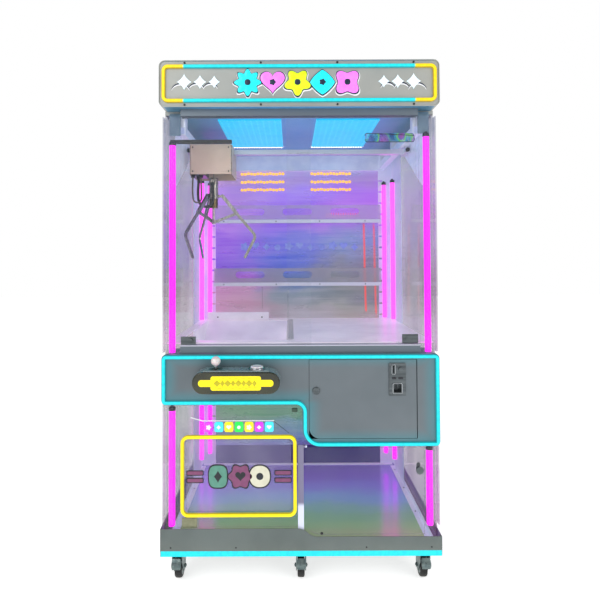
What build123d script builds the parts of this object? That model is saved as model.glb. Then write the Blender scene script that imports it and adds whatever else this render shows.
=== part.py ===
# Claw crane machine: a free-standing glazed cabinet on casters, with a gantry over a three-pronged claw.
# Millimetres, +Z up, front faces -Y, wheels stand on Z = 0, origin under the middle of the whole box.
import math
import os
from build123d import *

os.makedirs("parts", exist_ok=True)

# ---------- overall sizes ----------
total_height = 1952
cabinet_width = 1030            # over the outer faces of the side windows
cabinet_depth = 820             # front plane of the windows to the back of the rear panel
header_width = 1048
base_width = 1038
header_height = 176
header_reach = 24               # how far header, control panel and base stand in front of the front plane
panel_reach = 16
base_reach = 8
console_reach = 80              # console in front of the control panel
caster_height = 115

# ---------- sheet, glass and clearances ----------
sheet = 2.5
glass = 5
cover = 4                       # clear corner covers
moving_gap = 0.5                # between bodies that slide past each other
swing_gap = 1.5                 # round a door or flap
pin_gap = 0.05                  # radial clearance of a pin in its hole

# ---------- levels ----------
base_plate_thickness = 4
skirt_top_left = 216
skirt_top_right = 186
skirt_bottom = 136
panel_top = 857
panel_bottom_left = 671
panel_bottom_right = 518
sill_top = 888
playfield_top = 892
guard_top = 1060
window_top = 1762

# ---------- planes worked out from the sizes ----------
front_y = (console_reach + panel_reach - cabinet_depth) / 2
rear_y = front_y + cabinet_depth
half = cabinet_width / 2
inner_half = half - glass
film_y = rear_y - sheet         # inner face of the rear panel
panel_face = front_y - panel_reach
base_face = front_y - base_reach
header_face_y = front_y - header_reach
header_bottom = total_height - header_height
base_top = caster_height + base_plate_thickness


def save(part, name):
    """Label a finished piece and write it to a STEP file of its own."""
    part.label = name
    export_step(part, f"parts/{name}.step")


def block(x0, x1, y0, y1, z0, z1, mode=Mode.ADD):
    """Box between two corners, added to or cut from the part that is open."""
    with Locations(((x0 + x1) / 2, (y0 + y1) / 2, (z0 + z1) / 2)):
        Box(abs(x1 - x0), abs(y1 - y0), abs(z1 - z0), mode=mode)


def front_plane(y):
    """Plane that faces the front: sketch X is the machine's X, sketch Y its Z."""
    return Plane(origin=(0, y, 0), x_dir=(1, 0, 0), z_dir=(0, -1, 0))


def side_plane(x):
    """Plane that faces +X: sketch X is the machine's Y, sketch Y its Z."""
    return Plane(origin=(x, 0, 0), x_dir=(0, 1, 0), z_dir=(1, 0, 0))


# =====================================================================
# Base and casters
# =====================================================================
caster_plate = 90
plate_shift = 8                 # caster plate behind the swivel axis
caster_plate_thickness = 3
wheel_radius = 40
wheel_width = 28
axle_radius = 4
wheel_bore = axle_radius + pin_gap
swivel_offset = 26              # wheel axle behind the swivel axis
fork_gap = 2                    # between the wheel and each fork blade
fork_sheet = 3
race_height = 8                 # swivel race under the caster plate
race_radius = 26
blade_half = 15
blade_shoulder = 18             # straight front edge of a fork blade under the crown
blade_bend = 8
axle_end = 4                    # axle past each blade
brake_width = 22
brake_length = 26
brake_height = 14
brake_overlap = 4
tread_radius = 5
caster_x = 462
caster_front_y = front_y + 42
caster_rear_y = rear_y - 95
fork_top = caster_height - caster_plate_thickness
crown_top = fork_top - race_height
front_places = {"left": -caster_x, "middle": 0, "right": caster_x}
rear_places = {"left": -caster_x, "right": caster_x}


def fork_shape(x, y):
    """Crown and two blades of a fork whose wheel axle lies behind (x, y), and the axle."""
    inside = wheel_width / 2 + fork_gap
    axle_y = y + swivel_offset
    block(x - inside - fork_sheet, x + inside + fork_sheet, y - race_radius, axle_y + blade_half,
          crown_top - fork_sheet, crown_top)
    for side in (-1, 1):
        x_in = x + side * inside
        with BuildSketch(side_plane(min(x_in, x_in + side * fork_sheet))) as blade:
            with BuildLine():
                FilletPolyline((y - race_radius, crown_top), (y - race_radius, crown_top - blade_shoulder),
                               (axle_y - blade_half, wheel_radius - blade_half),
                               (axle_y + blade_half, wheel_radius - blade_half),
                               (axle_y + blade_half, crown_top), radius=blade_bend)
                Line((axle_y + blade_half, crown_top), (y - race_radius, crown_top))
            make_face()
        extrude(blade.sketch, amount=fork_sheet)
    with Locations(Location((x, axle_y, wheel_radius), (0, 90, 0))):
        Cylinder(axle_radius, 2 * (inside + fork_sheet + axle_end))


with BuildPart() as base_plate:
    block(-base_width / 2 + sheet, base_width / 2 - sheet, base_face + sheet, rear_y - sheet,
          caster_height, base_top)
    for y, places in ((caster_front_y, front_places), (caster_rear_y, rear_places)):
        for x in places.values():
            block(x - caster_plate / 2, x + caster_plate / 2, y + plate_shift - caster_plate / 2,
                  y + plate_shift + caster_plate / 2, fork_top, caster_height)
save(base_plate.part, "base_plate")

with BuildPart() as rear_caster_forks:
    for x in rear_places.values():
        with Locations((x, caster_rear_y, (fork_top + crown_top) / 2)):
            Cylinder(race_radius, race_height)
        fork_shape(x, caster_rear_y)
save(rear_caster_forks.part, "rear_caster_forks")

skirt_hem = 21                  # sides and rear of the skirt reach below its front
step_left = -11                 # the skirt's upper edge steps down between these two places
step_right = 59
with BuildPart() as base_skirt:
    with BuildSketch(front_plane(base_face + sheet)):
        with BuildLine():
            step_middle = ((step_left + step_right) / 2, (skirt_top_left + skirt_top_right) / 2)
            step_start = TangentArc((step_left, skirt_top_left), step_middle, tangent=(1, 0))
            TangentArc(step_middle, (step_right, skirt_top_right), tangent=step_start % 1)
            Polyline((step_right, skirt_top_right), (base_width / 2, skirt_top_right),
                     (base_width / 2, skirt_bottom), (-base_width / 2, skirt_bottom),
                     (-base_width / 2, skirt_top_left), (step_left, skirt_top_left))
        make_face()
    extrude(amount=sheet)
    for side, top in ((-1, skirt_top_left), (1, skirt_top_right)):
        x_out = side * base_width / 2
        block(x_out, x_out - side * sheet, base_face + sheet, rear_y, skirt_bottom - skirt_hem, top)
    block(-base_width / 2 + sheet, base_width / 2 - sheet, rear_y - sheet, rear_y,
          skirt_bottom - skirt_hem, skirt_top_left)
save(base_skirt.part, "base_skirt")

for place, x in front_places.items():
    with BuildPart() as fork:
        with Locations((x, caster_front_y, (fork_top + crown_top - moving_gap) / 2)):
            Cylinder(race_radius, race_height - moving_gap)
        fork_shape(x, caster_front_y)
        pedal_y = caster_front_y + swivel_offset + blade_half - brake_overlap
        block(x - brake_width / 2, x + brake_width / 2, pedal_y, pedal_y + brake_length,
              crown_top - brake_height, crown_top)
    save(fork.part, f"{place}_caster_fork")


def make_wheel(x, y, name):
    """Caster wheel with rounded tread edges and a bored hub, on an axle along X behind (x, y)."""
    centre = (x, y + swivel_offset, wheel_radius)
    with BuildPart() as wheel:
        with Locations(Location(centre, (0, 90, 0))):
            Cylinder(wheel_radius, wheel_width)
        fillet(wheel.edges().filter_by(GeomType.CIRCLE), tread_radius)
        with Locations(Location(centre, (0, 90, 0))):
            Cylinder(wheel_bore, wheel_width, mode=Mode.SUBTRACT)
    save(wheel.part, name)


for place, x in front_places.items():
    make_wheel(x, caster_front_y, f"front_{place}_wheel")
for place, x in rear_places.items():
    make_wheel(x, caster_rear_y, f"rear_{place}_wheel")

# =====================================================================
# Uprights, windows and rear panel
# =====================================================================
rear_leg = 71                   # rear flange of a post, against the rear panel
side_leg = 250                  # side flange of a post, against the side window
slot_pitch = 60
slot_length = 22
slot_width = 9
rear_slot_inset = 12            # slots from the inner edge of the rear flange
side_slot_inset = 16
slot_end = 80                   # plain length at each end of a post
cover_gap = 2                   # clear covers and panes off the sheet metal above and below
corner_side = 36                # side leg of a clear corner cover
upper_cover_edge = 448          # inner edges of the corner covers, from the middle
lower_cover_edge = 459
upper_cover_end = 15            # cover's upper end below the top of the window

with BuildPart() as rear_posts:
    for side in (-1, 1):
        x_out = side * inner_half
        block(x_out, x_out - side * rear_leg, film_y - sheet, film_y, base_top, window_top)
        block(x_out, x_out - side * sheet, film_y - side_leg, film_y - sheet, base_top, window_top)
    slot_count = int((window_top - base_top - 2 * slot_end) / slot_pitch)
    slot_middle = (window_top + base_top) / 2
    for side in (-1, 1):
        with BuildSketch(front_plane(film_y)):
            with Locations((side * (inner_half - rear_leg + rear_slot_inset), slot_middle)):
                with GridLocations(1, slot_pitch, 1, slot_count):
                    SlotOverall(slot_length, slot_width)
        extrude(amount=sheet, mode=Mode.SUBTRACT)
        with BuildSketch(side_plane(side * inner_half)):
            with Locations((film_y - side_leg + side_slot_inset, slot_middle)):
                with GridLocations(1, slot_pitch, 1, slot_count):
                    SlotOverall(slot_length, slot_width)
        extrude(amount=-side * sheet, mode=Mode.SUBTRACT)

with BuildPart() as rear_panel:
    block(-half, half, film_y, rear_y, skirt_top_left, window_top)
save(rear_panel.part, "rear_panel")

with BuildPart() as side_windows:
    for side in (-1, 1):
        block(side * half, side * inner_half, front_y + cover + corner_side, film_y, base_top, window_top)
        lower_top = (panel_bottom_left if side < 0 else panel_bottom_right) - cover_gap
        levels = ((panel_top + cover_gap, window_top - upper_cover_end, upper_cover_edge),
                  (skirt_top_left + cover_gap, lower_top, lower_cover_edge))
        for low, high, edge in levels:
            block(side * half, side * edge, front_y, front_y + cover, low, high)
            block(side * half, side * (half - cover), front_y + cover, front_y + cover + corner_side,
                  low, high)
save(side_windows.part, "side_windows")

# =====================================================================
# Header
# =====================================================================
header_radius = 23
face_inset = 4
neon_width = 13.5
neon_depth = 10
neon_margin = 11                # header edge to the neon tube
neon_lift = 6                   # further from the upper and lower edges
neon_round = 4
screw_inset = 9
screw_radius = 4
screw_head = 2
screw_columns = (-428, -143, 143, 428)
tray_front = front_y + 38
tray_overlap = 1                # tray's walls into the header's floor
inlet_left = 370                # mains inlet in the back of the header
inlet_right = 418
inlet_low = 1800
inlet_high = 1832
inlet_depth = 30


def neon_ring(width, height, radius, centre, face_y):
    """Rounded rectangular ring of silicone neon tube standing on a face that looks forward."""
    with BuildPart() as ring:
        with BuildSketch(front_plane(face_y)):
            with Locations(centre):
                RectangleRounded(width, height, radius)
                RectangleRounded(width - 2 * neon_width, height - 2 * neon_width, radius - neon_width,
                                 mode=Mode.SUBTRACT)
        extrude(amount=neon_depth)
        fillet(ring.faces().sort_by(Axis.Y)[0].edges(), neon_round)
    return ring.part


header_middle = (0, (total_height + header_bottom) / 2)
with BuildPart() as header_shell:
    with BuildSketch(front_plane(rear_y)):
        with Locations(header_middle):
            RectangleRounded(header_width, header_height, header_radius)
    extrude(amount=rear_y - header_face_y)
    with BuildSketch(front_plane(rear_y - sheet)):
        with Locations(header_middle):
            RectangleRounded(header_width - 2 * sheet, header_height - 2 * sheet, header_radius - sheet)
    extrude(amount=rear_y - header_face_y, mode=Mode.SUBTRACT)
    block(-half, half, tray_front, rear_y, window_top, window_top + sheet)
    for side in (-1, 1):
        block(side * half, side * (half - sheet), tray_front, rear_y, window_top,
              header_bottom + tray_overlap)
    block(-half, half, tray_front, tray_front + sheet, window_top, header_bottom + tray_overlap)
    block(-half, half, rear_y - sheet, rear_y, window_top, header_bottom + tray_overlap)
    block(inlet_left, inlet_right, rear_y - sheet, rear_y, inlet_low, inlet_high, mode=Mode.SUBTRACT)
save(header_shell.part, "header_shell")

with BuildPart() as header_face:
    with BuildSketch(front_plane(header_face_y + face_inset + sheet)):
        with Locations(header_middle):
            RectangleRounded(header_width - 2 * sheet, header_height - 2 * sheet, header_radius - sheet)
    extrude(amount=sheet)
save(header_face.part, "header_face")

header_ring = neon_ring(header_width - 2 * neon_margin,
                        header_height - 2 * (neon_margin + neon_lift), header_radius,
                        header_middle, header_face_y + face_inset)

with BuildPart() as header_screws:
    screw_plane = front_plane(header_face_y + face_inset)
    for z in (header_bottom + screw_inset, total_height - screw_inset):
        for x in screw_columns:
            with BuildSketch(screw_plane):
                with Locations((x, z)):
                    Circle(screw_radius)
            extrude(amount=screw_head)
save(header_screws.part, "header_screws")

lamp_x = 195
lamp_width = 250
lamp_depth = 460
lamp_front = front_y + 90
lamp_thickness = 6
with BuildPart() as ceiling_lamps:
    for side in (-1, 1):
        block(side * lamp_x - lamp_width / 2, side * lamp_x + lamp_width / 2, lamp_front,
              lamp_front + lamp_depth, window_top - lamp_thickness, window_top)
save(ceiling_lamps.part, "ceiling_lamps")

tube_radius = 12
rear_tube_radius = 11
tube_x = 482
tube_gap = 4                    # behind the corner cover
tube_y = front_y + cover + tube_radius + tube_gap
rear_tube_x = inner_half - 42   # tube on the rear flange of a post
side_tube_y = film_y - 95       # tube on the side flange
rear_tube_low = playfield_top + 5
rear_tube_top = 1615
lower_tube_low = base_top + 60
lower_tube_top = playfield_top - 40
with BuildPart() as light_tubes:
    spans = ((-tube_x, 858, 1650), (tube_x, 858, 1680), (-tube_x, skirt_top_left, 651),
             (tube_x, skirt_top_left, 502))
    for x, low, high in spans:
        with Locations((x, tube_y, (low + high) / 2)):
            Cylinder(tube_radius, high - low)
    for side in (-1, 1):
        places = ((side * rear_tube_x, film_y - sheet - rear_tube_radius),
                  (side * (inner_half - sheet - rear_tube_radius), side_tube_y))
        for x, y in places:
            with Locations((x, y, (rear_tube_low + rear_tube_top) / 2)):
                Cylinder(rear_tube_radius, rear_tube_top - rear_tube_low)
            with Locations((x, y, (lower_tube_low + lower_tube_top) / 2)):
                Cylinder(rear_tube_radius, lower_tube_top - lower_tube_low)
save(light_tubes.part, "light_tubes")

# =====================================================================
# Sliding glass doors and their tracks
# =====================================================================
door_gap = 1                    # glass in its groove
track_depth = 34
groove_wall = 6                 # track's front to the left door
door_spacing = 8                # between the two panes
left_door_y = front_y + groove_wall
right_door_y = left_door_y + glass + door_spacing
groove_floor = sill_top - 16
groove_roof = window_top + 4
lift_out = 2                    # room above a pane, to lift it out of its groove
track_bottom = window_top - 13
sill_bottom = panel_top + 1
left_door_span = (-446, 42)
right_door_span = (-49, 444)
lock_low = sill_top + 2
lock_plate = 3
cylinder_radius = 9
key_half = 4                    # half the length of a key slot

with BuildPart() as door_tracks:
    block(-upper_cover_edge, upper_cover_edge, front_y, front_y + track_depth, sill_bottom, sill_top)
    block(-upper_cover_edge, upper_cover_edge, front_y, front_y + track_depth, track_bottom, header_bottom)
    for y in (left_door_y, right_door_y):
        block(-upper_cover_edge, upper_cover_edge, y - door_gap, y + glass + door_gap,
              groove_floor, sill_top, mode=Mode.SUBTRACT)
        block(-upper_cover_edge, upper_cover_edge, y - door_gap, y + glass + door_gap,
              track_bottom, groove_roof, mode=Mode.SUBTRACT)
save(door_tracks.part, "door_tracks")


def glass_door(span, y, name):
    """Sliding pane whose lower and upper edges run in the grooves."""
    with BuildPart() as door:
        block(span[0], span[1], y, y + glass, groove_floor + moving_gap, groove_roof - lift_out)
    save(door.part, name)


def door_lock(x0, x1, lock_x, low, high, y, reach, name):
    """Lock plate on the front of a sliding pane, with a key cylinder."""
    middle = (low + high) / 2
    plate_y = y - lock_plate
    with BuildPart() as lock:
        block(x0, x1, plate_y, y, low, high)
        with BuildSketch(front_plane(plate_y)):
            with Locations((lock_x, middle)):
                Circle(cylinder_radius)
        extrude(amount=reach)
        block(lock_x - key_half, lock_x + key_half, plate_y - reach, plate_y - reach + 1, middle - 1,
              middle + 1, mode=Mode.SUBTRACT)
    save(lock.part, name)


glass_door(left_door_span, left_door_y, "left_glass_door")
glass_door(right_door_span, right_door_y, "right_glass_door")
door_lock(left_door_span[0], -390, -409, lock_low, 920, left_door_y, 8, "left_door_lock")
door_lock(384, right_door_span[1], 407, lock_low, 924, right_door_y, 2.5, "right_door_lock")

# =====================================================================
# Playfield, prize chute and shelves
# =====================================================================
floor_sheet = 4
chute_left = -470
chute_right = -48
chute_front = front_y + 95
chute_rear = film_y - 80
guard = 4
ramp_front = front_y + 330
ramp_drop = 190
ramp_sheet = 3
floor_edge = inner_half - sheet
floor_front = front_y + track_depth + 2
tube_notch = tube_x - tube_radius - 2
foot = 20                       # guard's foot on the playfield
guard_round = 12

with BuildPart() as playfield_floor:
    block(-floor_edge, floor_edge, floor_front, film_y - sheet, playfield_top - floor_sheet,
          playfield_top)
    block(chute_left, chute_right, chute_front, chute_rear, playfield_top - floor_sheet, playfield_top,
          mode=Mode.SUBTRACT)
    for side in (-1, 1):
        block(side * floor_edge, side * tube_notch, floor_front, floor_front + 2,
              playfield_top - floor_sheet, playfield_top, mode=Mode.SUBTRACT)

with BuildPart() as chute_guard:
    block(chute_right, chute_right + guard, chute_front, chute_rear, playfield_top, guard_top)
    block(chute_right + guard, chute_right + guard + foot, chute_front, chute_rear, playfield_top,
          playfield_top + guard)
    fillet(chute_guard.edges().filter_by(Axis.X).group_by(Axis.Z)[-1], guard_round)
save(chute_guard.part, "chute_guard")

with BuildPart() as prize_chute:
    ramp_top = playfield_top - floor_sheet
    with BuildSketch(side_plane(chute_left + guard)):
        with BuildLine():
            Polyline((chute_rear, ramp_top), (ramp_front, ramp_top - ramp_drop),
                     (ramp_front, ramp_top - ramp_drop - ramp_sheet), (chute_rear, ramp_top - ramp_sheet),
                     close=True)
        make_face()
    extrude(amount=chute_right - chute_left - 2 * guard)
    for x in (chute_left + guard, chute_right - guard - ramp_sheet):
        with BuildSketch(side_plane(x)):
            with BuildLine():
                Polyline((chute_rear, ramp_top), (ramp_front, ramp_top),
                         (ramp_front, ramp_top - ramp_drop), close=True)
            make_face()
        extrude(amount=ramp_sheet)

with BuildPart() as playfield:
    add(playfield_floor.part)
    add(prize_chute.part)
save(playfield.part, "playfield")

shelf_depth = 110
shelf_half = 430
shelf_sheet = 5
shelf_levels = ((1396, 1489), (1071, 1163))
shelf_lift = 4                  # shelf above the lower edge of its lip
lip_sheet = 3
edge_bar = 5                    # bar in front of the lip
edge_bar_height = 18
shelf_slot = 34
shelf_slot_length = 150
shelf_slot_pitch = 245
shelf_slot_lift = 12            # slots above the middle of the lip
with BuildPart() as shelves:
    lip_y = film_y - shelf_depth
    for low, high in shelf_levels:
        block(-shelf_half, shelf_half, lip_y, film_y, low + shelf_lift, low + shelf_lift + shelf_sheet)
        block(-shelf_half, shelf_half, lip_y - lip_sheet, lip_y, low, high)
        block(-shelf_half, shelf_half, lip_y - lip_sheet - edge_bar, lip_y - lip_sheet, low,
              low + edge_bar_height)
        with BuildSketch(front_plane(lip_y)):
            with Locations((0, (low + high) / 2 + shelf_slot_lift)):
                with GridLocations(shelf_slot_pitch, 1, 3, 1):
                    SlotOverall(shelf_slot_length, shelf_slot)
        extrude(amount=lip_sheet, mode=Mode.SUBTRACT)
save(shelves.part, "shelves")

# =====================================================================
# Control panel, its housing and the service door
# =====================================================================
panel_half = 514
panel_corner = 18
bay_corner_x = 7                # the panel's lower edge drops here from the prize bay to the right
bay_upper_radius = 25
bay_lower_radius = 64
door_low = 546                  # opening for the service door
door_high = 837
door_left = 31
door_right = 431
door_corner = 37
hinge_inset = 6                 # service door's pins inside the opening's right edge
hinge_y = panel_face + 5
hinge_tab = 6                   # height of a hinge tab on the panel
hinge_gap = 2                   # between it and the door's opening
hinge_side = 8
hinge_root = 14
hinge_back = 13
opening_corner = 4
pin_radius = 2
pin_bore = pin_radius + pin_gap
housing_depth = 140
housing_wall = 2
housing_inset = 5
light_margin = 3
panel_outline = ((-panel_half, panel_top), (-panel_half, panel_bottom_left),
                 (bay_corner_x, panel_bottom_left), (bay_corner_x, panel_bottom_right),
                 (panel_half, panel_bottom_right), (panel_half, panel_top))
panel_radii = (panel_corner, panel_corner, bay_upper_radius, bay_lower_radius, panel_corner, panel_corner)
console_left = -386
console_right = -74
console_low = 731
console_high = 809
console_wall = 3
console_face = panel_face - console_reach
console_radius = (console_high - console_low) / 2
console_mouth = 60              # opening in the panel behind the console, from its ends
mouth_inset = 20


def inset_outline(amount):
    """Sketch of the panel's outline, moved inwards, as a closed face on the X-Z plane."""
    with BuildSketch() as outline:
        with BuildLine():
            FilletPolyline(*panel_outline, radius=panel_radii, close=True)
        make_face()
        if amount > 0:
            offset(amount=-amount, mode=Mode.REPLACE)
    return outline.sketch


def place_outline(y, amount):
    """The inset outline, standing on a plane that faces the front."""
    return front_plane(y) * inset_outline(amount)


hinge_x = door_right - hinge_inset
with BuildPart() as control_panel:
    extrude(place_outline(front_y, 0), amount=panel_reach)
    extrude(place_outline(front_y, sheet), amount=panel_reach - sheet, mode=Mode.SUBTRACT)
    with BuildSketch(front_plane(panel_face + sheet)):
        with Locations(((door_left + door_right) / 2, (door_low + door_high) / 2)):
            RectangleRounded(door_right - door_left, door_high - door_low, opening_corner)
        with Locations(((console_left + console_right) / 2, (console_low + console_high) / 2)):
            Rectangle(console_right - console_left - 2 * console_mouth,
                      console_high - console_low - mouth_inset)
    extrude(amount=sheet, mode=Mode.SUBTRACT)
    for z0, z1 in ((door_low - hinge_gap - hinge_tab, door_low - hinge_gap),
                   (door_high + hinge_gap, door_high + hinge_gap + hinge_tab)):
        block(hinge_x - hinge_side, hinge_x + hinge_root, panel_face + sheet, panel_face + hinge_back,
              z0, z1)
        with Locations((hinge_x, hinge_y, (z0 + z1) / 2)):
            Cylinder(pin_bore, z1 - z0, mode=Mode.SUBTRACT)
save(control_panel.part, "control_panel")

with BuildPart() as panel_ring:
    extrude(place_outline(panel_face, light_margin), amount=neon_depth)
    extrude(place_outline(panel_face, light_margin + neon_width), amount=neon_depth, mode=Mode.SUBTRACT)
    fillet(panel_ring.faces().sort_by(Axis.Y)[0].edges(), neon_round)

with BuildPart() as cyan_lights:
    add(header_ring)
    add(panel_ring.part)
    block(-base_width / 2 + 2, base_width / 2 - 2, base_face, base_face + neon_depth, caster_height + 1,
          skirt_bottom)
    block(-base_width / 2 + 2, base_width / 2 - 2, base_face + sheet, base_face + neon_depth, caster_height,
          skirt_bottom, mode=Mode.SUBTRACT)
save(cyan_lights.part, "cyan_lights")

with BuildPart() as control_housing:
    housing_room = housing_depth - housing_wall
    extrude(place_outline(front_y, housing_inset), amount=-housing_depth)
    extrude(place_outline(front_y, housing_inset + housing_wall), amount=-housing_room, mode=Mode.SUBTRACT)
save(control_housing.part, "control_housing")

coin_x = 357
coin_low = 704
coin_high = 823
coin_half = 31
coin_plate = 4
coin_body_depth = 70
coin_rim = 4                    # plate past the coin mechanism behind it
coin_corner = 3
slot_x = coin_x - 14            # coin slot
slot_half = 2
coin_slot_depth = 20
tray_half = 14                  # coin return tray
tray_depth = 24
button_gap = 0.5
button_seat = 4                 # button's rear end behind the panel's face
button_rise = 4
button_edge = 1.5
lock_radius = 14
lock_shaft = 9
lock_depth = 22
lock_head = 4
cam_width = 14
cam_sheet = 2
service_cam = 35                # reach of each lock's cam from its axis
access_cam = 22
service_lock_place = (58, 722)
return_place = (369, 801)
return_radius = 8
leaf_right = hinge_x + 3
knuckle = 10                    # door's hinge block
knuckle_back = 8.5
service_pin = 7
leaf_corner = 3

with BuildPart() as service_door:
    with BuildSketch(front_plane(panel_face + sheet)):
        with BuildLine():
            left, right = door_left + swing_gap, leaf_right
            low, high = door_low + swing_gap, door_high - swing_gap
            FilletPolyline((left, high), (left, low), (right, low), (right, high),
                           radius=(leaf_corner, door_corner, leaf_corner, leaf_corner), close=True)
        make_face()
        with Locations((coin_x, (coin_low + coin_high) / 2)):
            Rectangle(2 * (coin_half - coin_rim), coin_high - coin_low - 2 * coin_rim, mode=Mode.SUBTRACT)
        with Locations(service_lock_place):
            Circle(lock_shaft + pin_gap, mode=Mode.SUBTRACT)
    extrude(amount=sheet)
    for edge, outward in ((low, -1), (high, 1)):
        block(hinge_x - hinge_side, leaf_right, panel_face + sheet, panel_face + knuckle_back,
              edge - knuckle * outward, edge)
        with Locations((hinge_x, hinge_y, edge + service_pin / 2 * outward)):
            Cylinder(pin_radius, service_pin)
save(service_door.part, "service_door")

with BuildPart() as coin_acceptor:
    block(coin_x - coin_half, coin_x + coin_half, panel_face - coin_plate, panel_face, coin_low, coin_high)
    fillet(coin_acceptor.edges().filter_by(Axis.Y), coin_corner)
    block(coin_x - coin_half + coin_rim, coin_x + coin_half - coin_rim, panel_face,
          panel_face + coin_body_depth, coin_low + coin_rim, coin_high - coin_rim)
    block(slot_x - slot_half, slot_x + slot_half, panel_face - coin_plate, panel_face + coin_slot_depth,
          787, 813, mode=Mode.SUBTRACT)
    block(coin_x - tray_half, coin_x + tray_half, panel_face - coin_plate, panel_face + tray_depth,
          716, 746, mode=Mode.SUBTRACT)
    with Locations(Location((return_place[0], panel_face + button_seat, return_place[1]), (90, 0, 0))):
        Cylinder(return_radius + button_gap, 2 * (button_seat + coin_plate) + 4, mode=Mode.SUBTRACT)
save(coin_acceptor.part, "coin_acceptor")

with BuildPart() as coin_return_button:
    with BuildSketch(front_plane(panel_face + button_seat)):
        with Locations(return_place):
            Circle(return_radius)
    extrude(amount=button_seat + coin_plate + button_rise)
    fillet(coin_return_button.faces().sort_by(Axis.Y)[0].edges(), button_edge)
save(coin_return_button.part, "coin_return_button")


def cam_lock(place, face_y, reach, name):
    """Key lock: round head in front of a sheet, barrel through it, cam behind that points up, unlocked."""
    with BuildPart() as lock:
        with BuildSketch(front_plane(face_y)) as head:
            with Locations(place):
                Circle(lock_radius)
        extrude(head.sketch, amount=lock_head)
        fillet(lock.faces().sort_by(Axis.Y)[0].edges(), button_edge)
        with BuildSketch(front_plane(face_y + lock_depth)) as barrel:
            with Locations(place):
                Circle(lock_shaft)
        extrude(barrel.sketch, amount=lock_depth)
        with BuildSketch(front_plane(face_y + lock_depth)) as cam:
            with Locations((place[0], place[1] + (reach - lock_shaft) / 2)):
                SlotOverall(reach + lock_shaft, cam_width, rotation=90)
        extrude(cam.sketch, amount=cam_sheet)
        block(place[0] - 1, place[0] + 1, face_y - lock_head, face_y - lock_head / 2,
              place[1] - key_half, place[1] + key_half, mode=Mode.SUBTRACT)
    save(lock.part, name)


cam_lock(service_lock_place, panel_face, service_cam, "service_lock")

# =====================================================================
# Console with joystick and drop button
# =====================================================================
deck_thickness = 3
deck_margin = 4
deck_front = 8                  # deck's front edge behind the console's
console_round = 5
stick_x = -306
stick_y = panel_face - 42
stick_pivot_z = 786
stick_radius = 4.5
ball_radius = 17.5
ball_z = 841
stick_hole = 13
button_x = -158
button_radius = 24
button_clearance = 0.5
bezel_radius = 29
bezel_height = 5
button_rise_z = 12              # button above the deck
button_depth = 16               # button under the console's top
button_round = 7
ring_half_x = 17
ring_half_y = 13
ring_half_z = 5
hub_radius = 7.5
deck_top = console_high + deck_thickness
button_top = deck_top + button_rise_z
hole_low = console_high - console_wall - 2
lug_sheet = 5
lug_half = 8
lug_x = ring_half_x + 3
ring_wall = 4
gimbal_pin = 10
hub_height = 12
stick_tail = 20                 # stick below its pivot
console_plane = front_plane(panel_face)
console_middle = ((console_left + console_right) / 2, (console_low + console_high) / 2)
lamp_cut = ((178, 50, 8), (266, 24, 11))

with BuildPart() as console_body:
    with BuildSketch(console_plane):
        with Locations(console_middle):
            SlotOverall(console_right - console_left, console_high - console_low)
    extrude(amount=console_reach)
    fillet(console_body.faces().sort_by(Axis.Y)[0].edges(), console_round)
    with BuildSketch(console_plane):
        with Locations(console_middle):
            SlotOverall(console_right - console_left - 2 * console_wall,
                        console_high - console_low - 2 * console_wall)
    extrude(amount=console_reach - 2 * console_wall, mode=Mode.SUBTRACT)
    block(console_left + console_radius, console_right - console_radius, console_face + deck_front,
          panel_face - deck_margin, console_high - 1, deck_top)
    with Locations((button_x, stick_y, deck_top + bezel_height / 2)):
        Cylinder(bezel_radius, bezel_height)
    with BuildSketch(Plane.XY.offset(hole_low)):
        with Locations((stick_x, stick_y)):
            Circle(stick_hole)
        with Locations((button_x, stick_y)):
            Circle(button_radius + button_clearance)
    extrude(amount=deck_top + bezel_height - hole_low, mode=Mode.SUBTRACT)
    for side in (-1, 1):
        block(stick_x + side * lug_x, stick_x + side * (lug_x + lug_sheet), stick_y - lug_half,
              stick_y + lug_half, stick_pivot_z - lug_half, console_high - console_wall + 1)
    with Locations(Location((stick_x, stick_y, stick_pivot_z), (0, 90, 0))):
        Cylinder(pin_bore, 2 * (lug_x + lug_sheet + 1), mode=Mode.SUBTRACT)
    with BuildSketch(front_plane(console_face + 2 * console_wall)):
        with Locations(console_middle):
            for width, height, corner in lamp_cut:
                RectangleRounded(width, height, corner)
    extrude(amount=2 * console_wall, mode=Mode.SUBTRACT)
save(console_body.part, "console_body")

with BuildPart() as console_lamp:
    with BuildSketch(front_plane(console_face + 2 * console_wall)):
        with Locations(console_middle):
            for width, height, corner in lamp_cut:
                RectangleRounded(width, height, corner)
    extrude(amount=2 * console_wall)
save(console_lamp.part, "console_lamp")

with BuildPart() as joystick_gimbal:
    block(stick_x - ring_half_x, stick_x + ring_half_x, stick_y - ring_half_y, stick_y + ring_half_y,
          stick_pivot_z - ring_half_z, stick_pivot_z + ring_half_z)
    block(stick_x - ring_half_x + ring_wall, stick_x + ring_half_x - ring_wall,
          stick_y - ring_half_y + ring_wall, stick_y + ring_half_y - ring_wall,
          stick_pivot_z - ring_half_z, stick_pivot_z + ring_half_z, mode=Mode.SUBTRACT)
    for side in (-1, 1):
        with Locations(Location((stick_x + side * (ring_half_x + 3), stick_y, stick_pivot_z), (0, 90, 0))):
            Cylinder(pin_radius, gimbal_pin)
    with Locations(Location((stick_x, stick_y, stick_pivot_z), (90, 0, 0))):
        Cylinder(pin_bore, 2 * ring_half_y + 2, mode=Mode.SUBTRACT)
save(joystick_gimbal.part, "joystick_gimbal")

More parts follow.
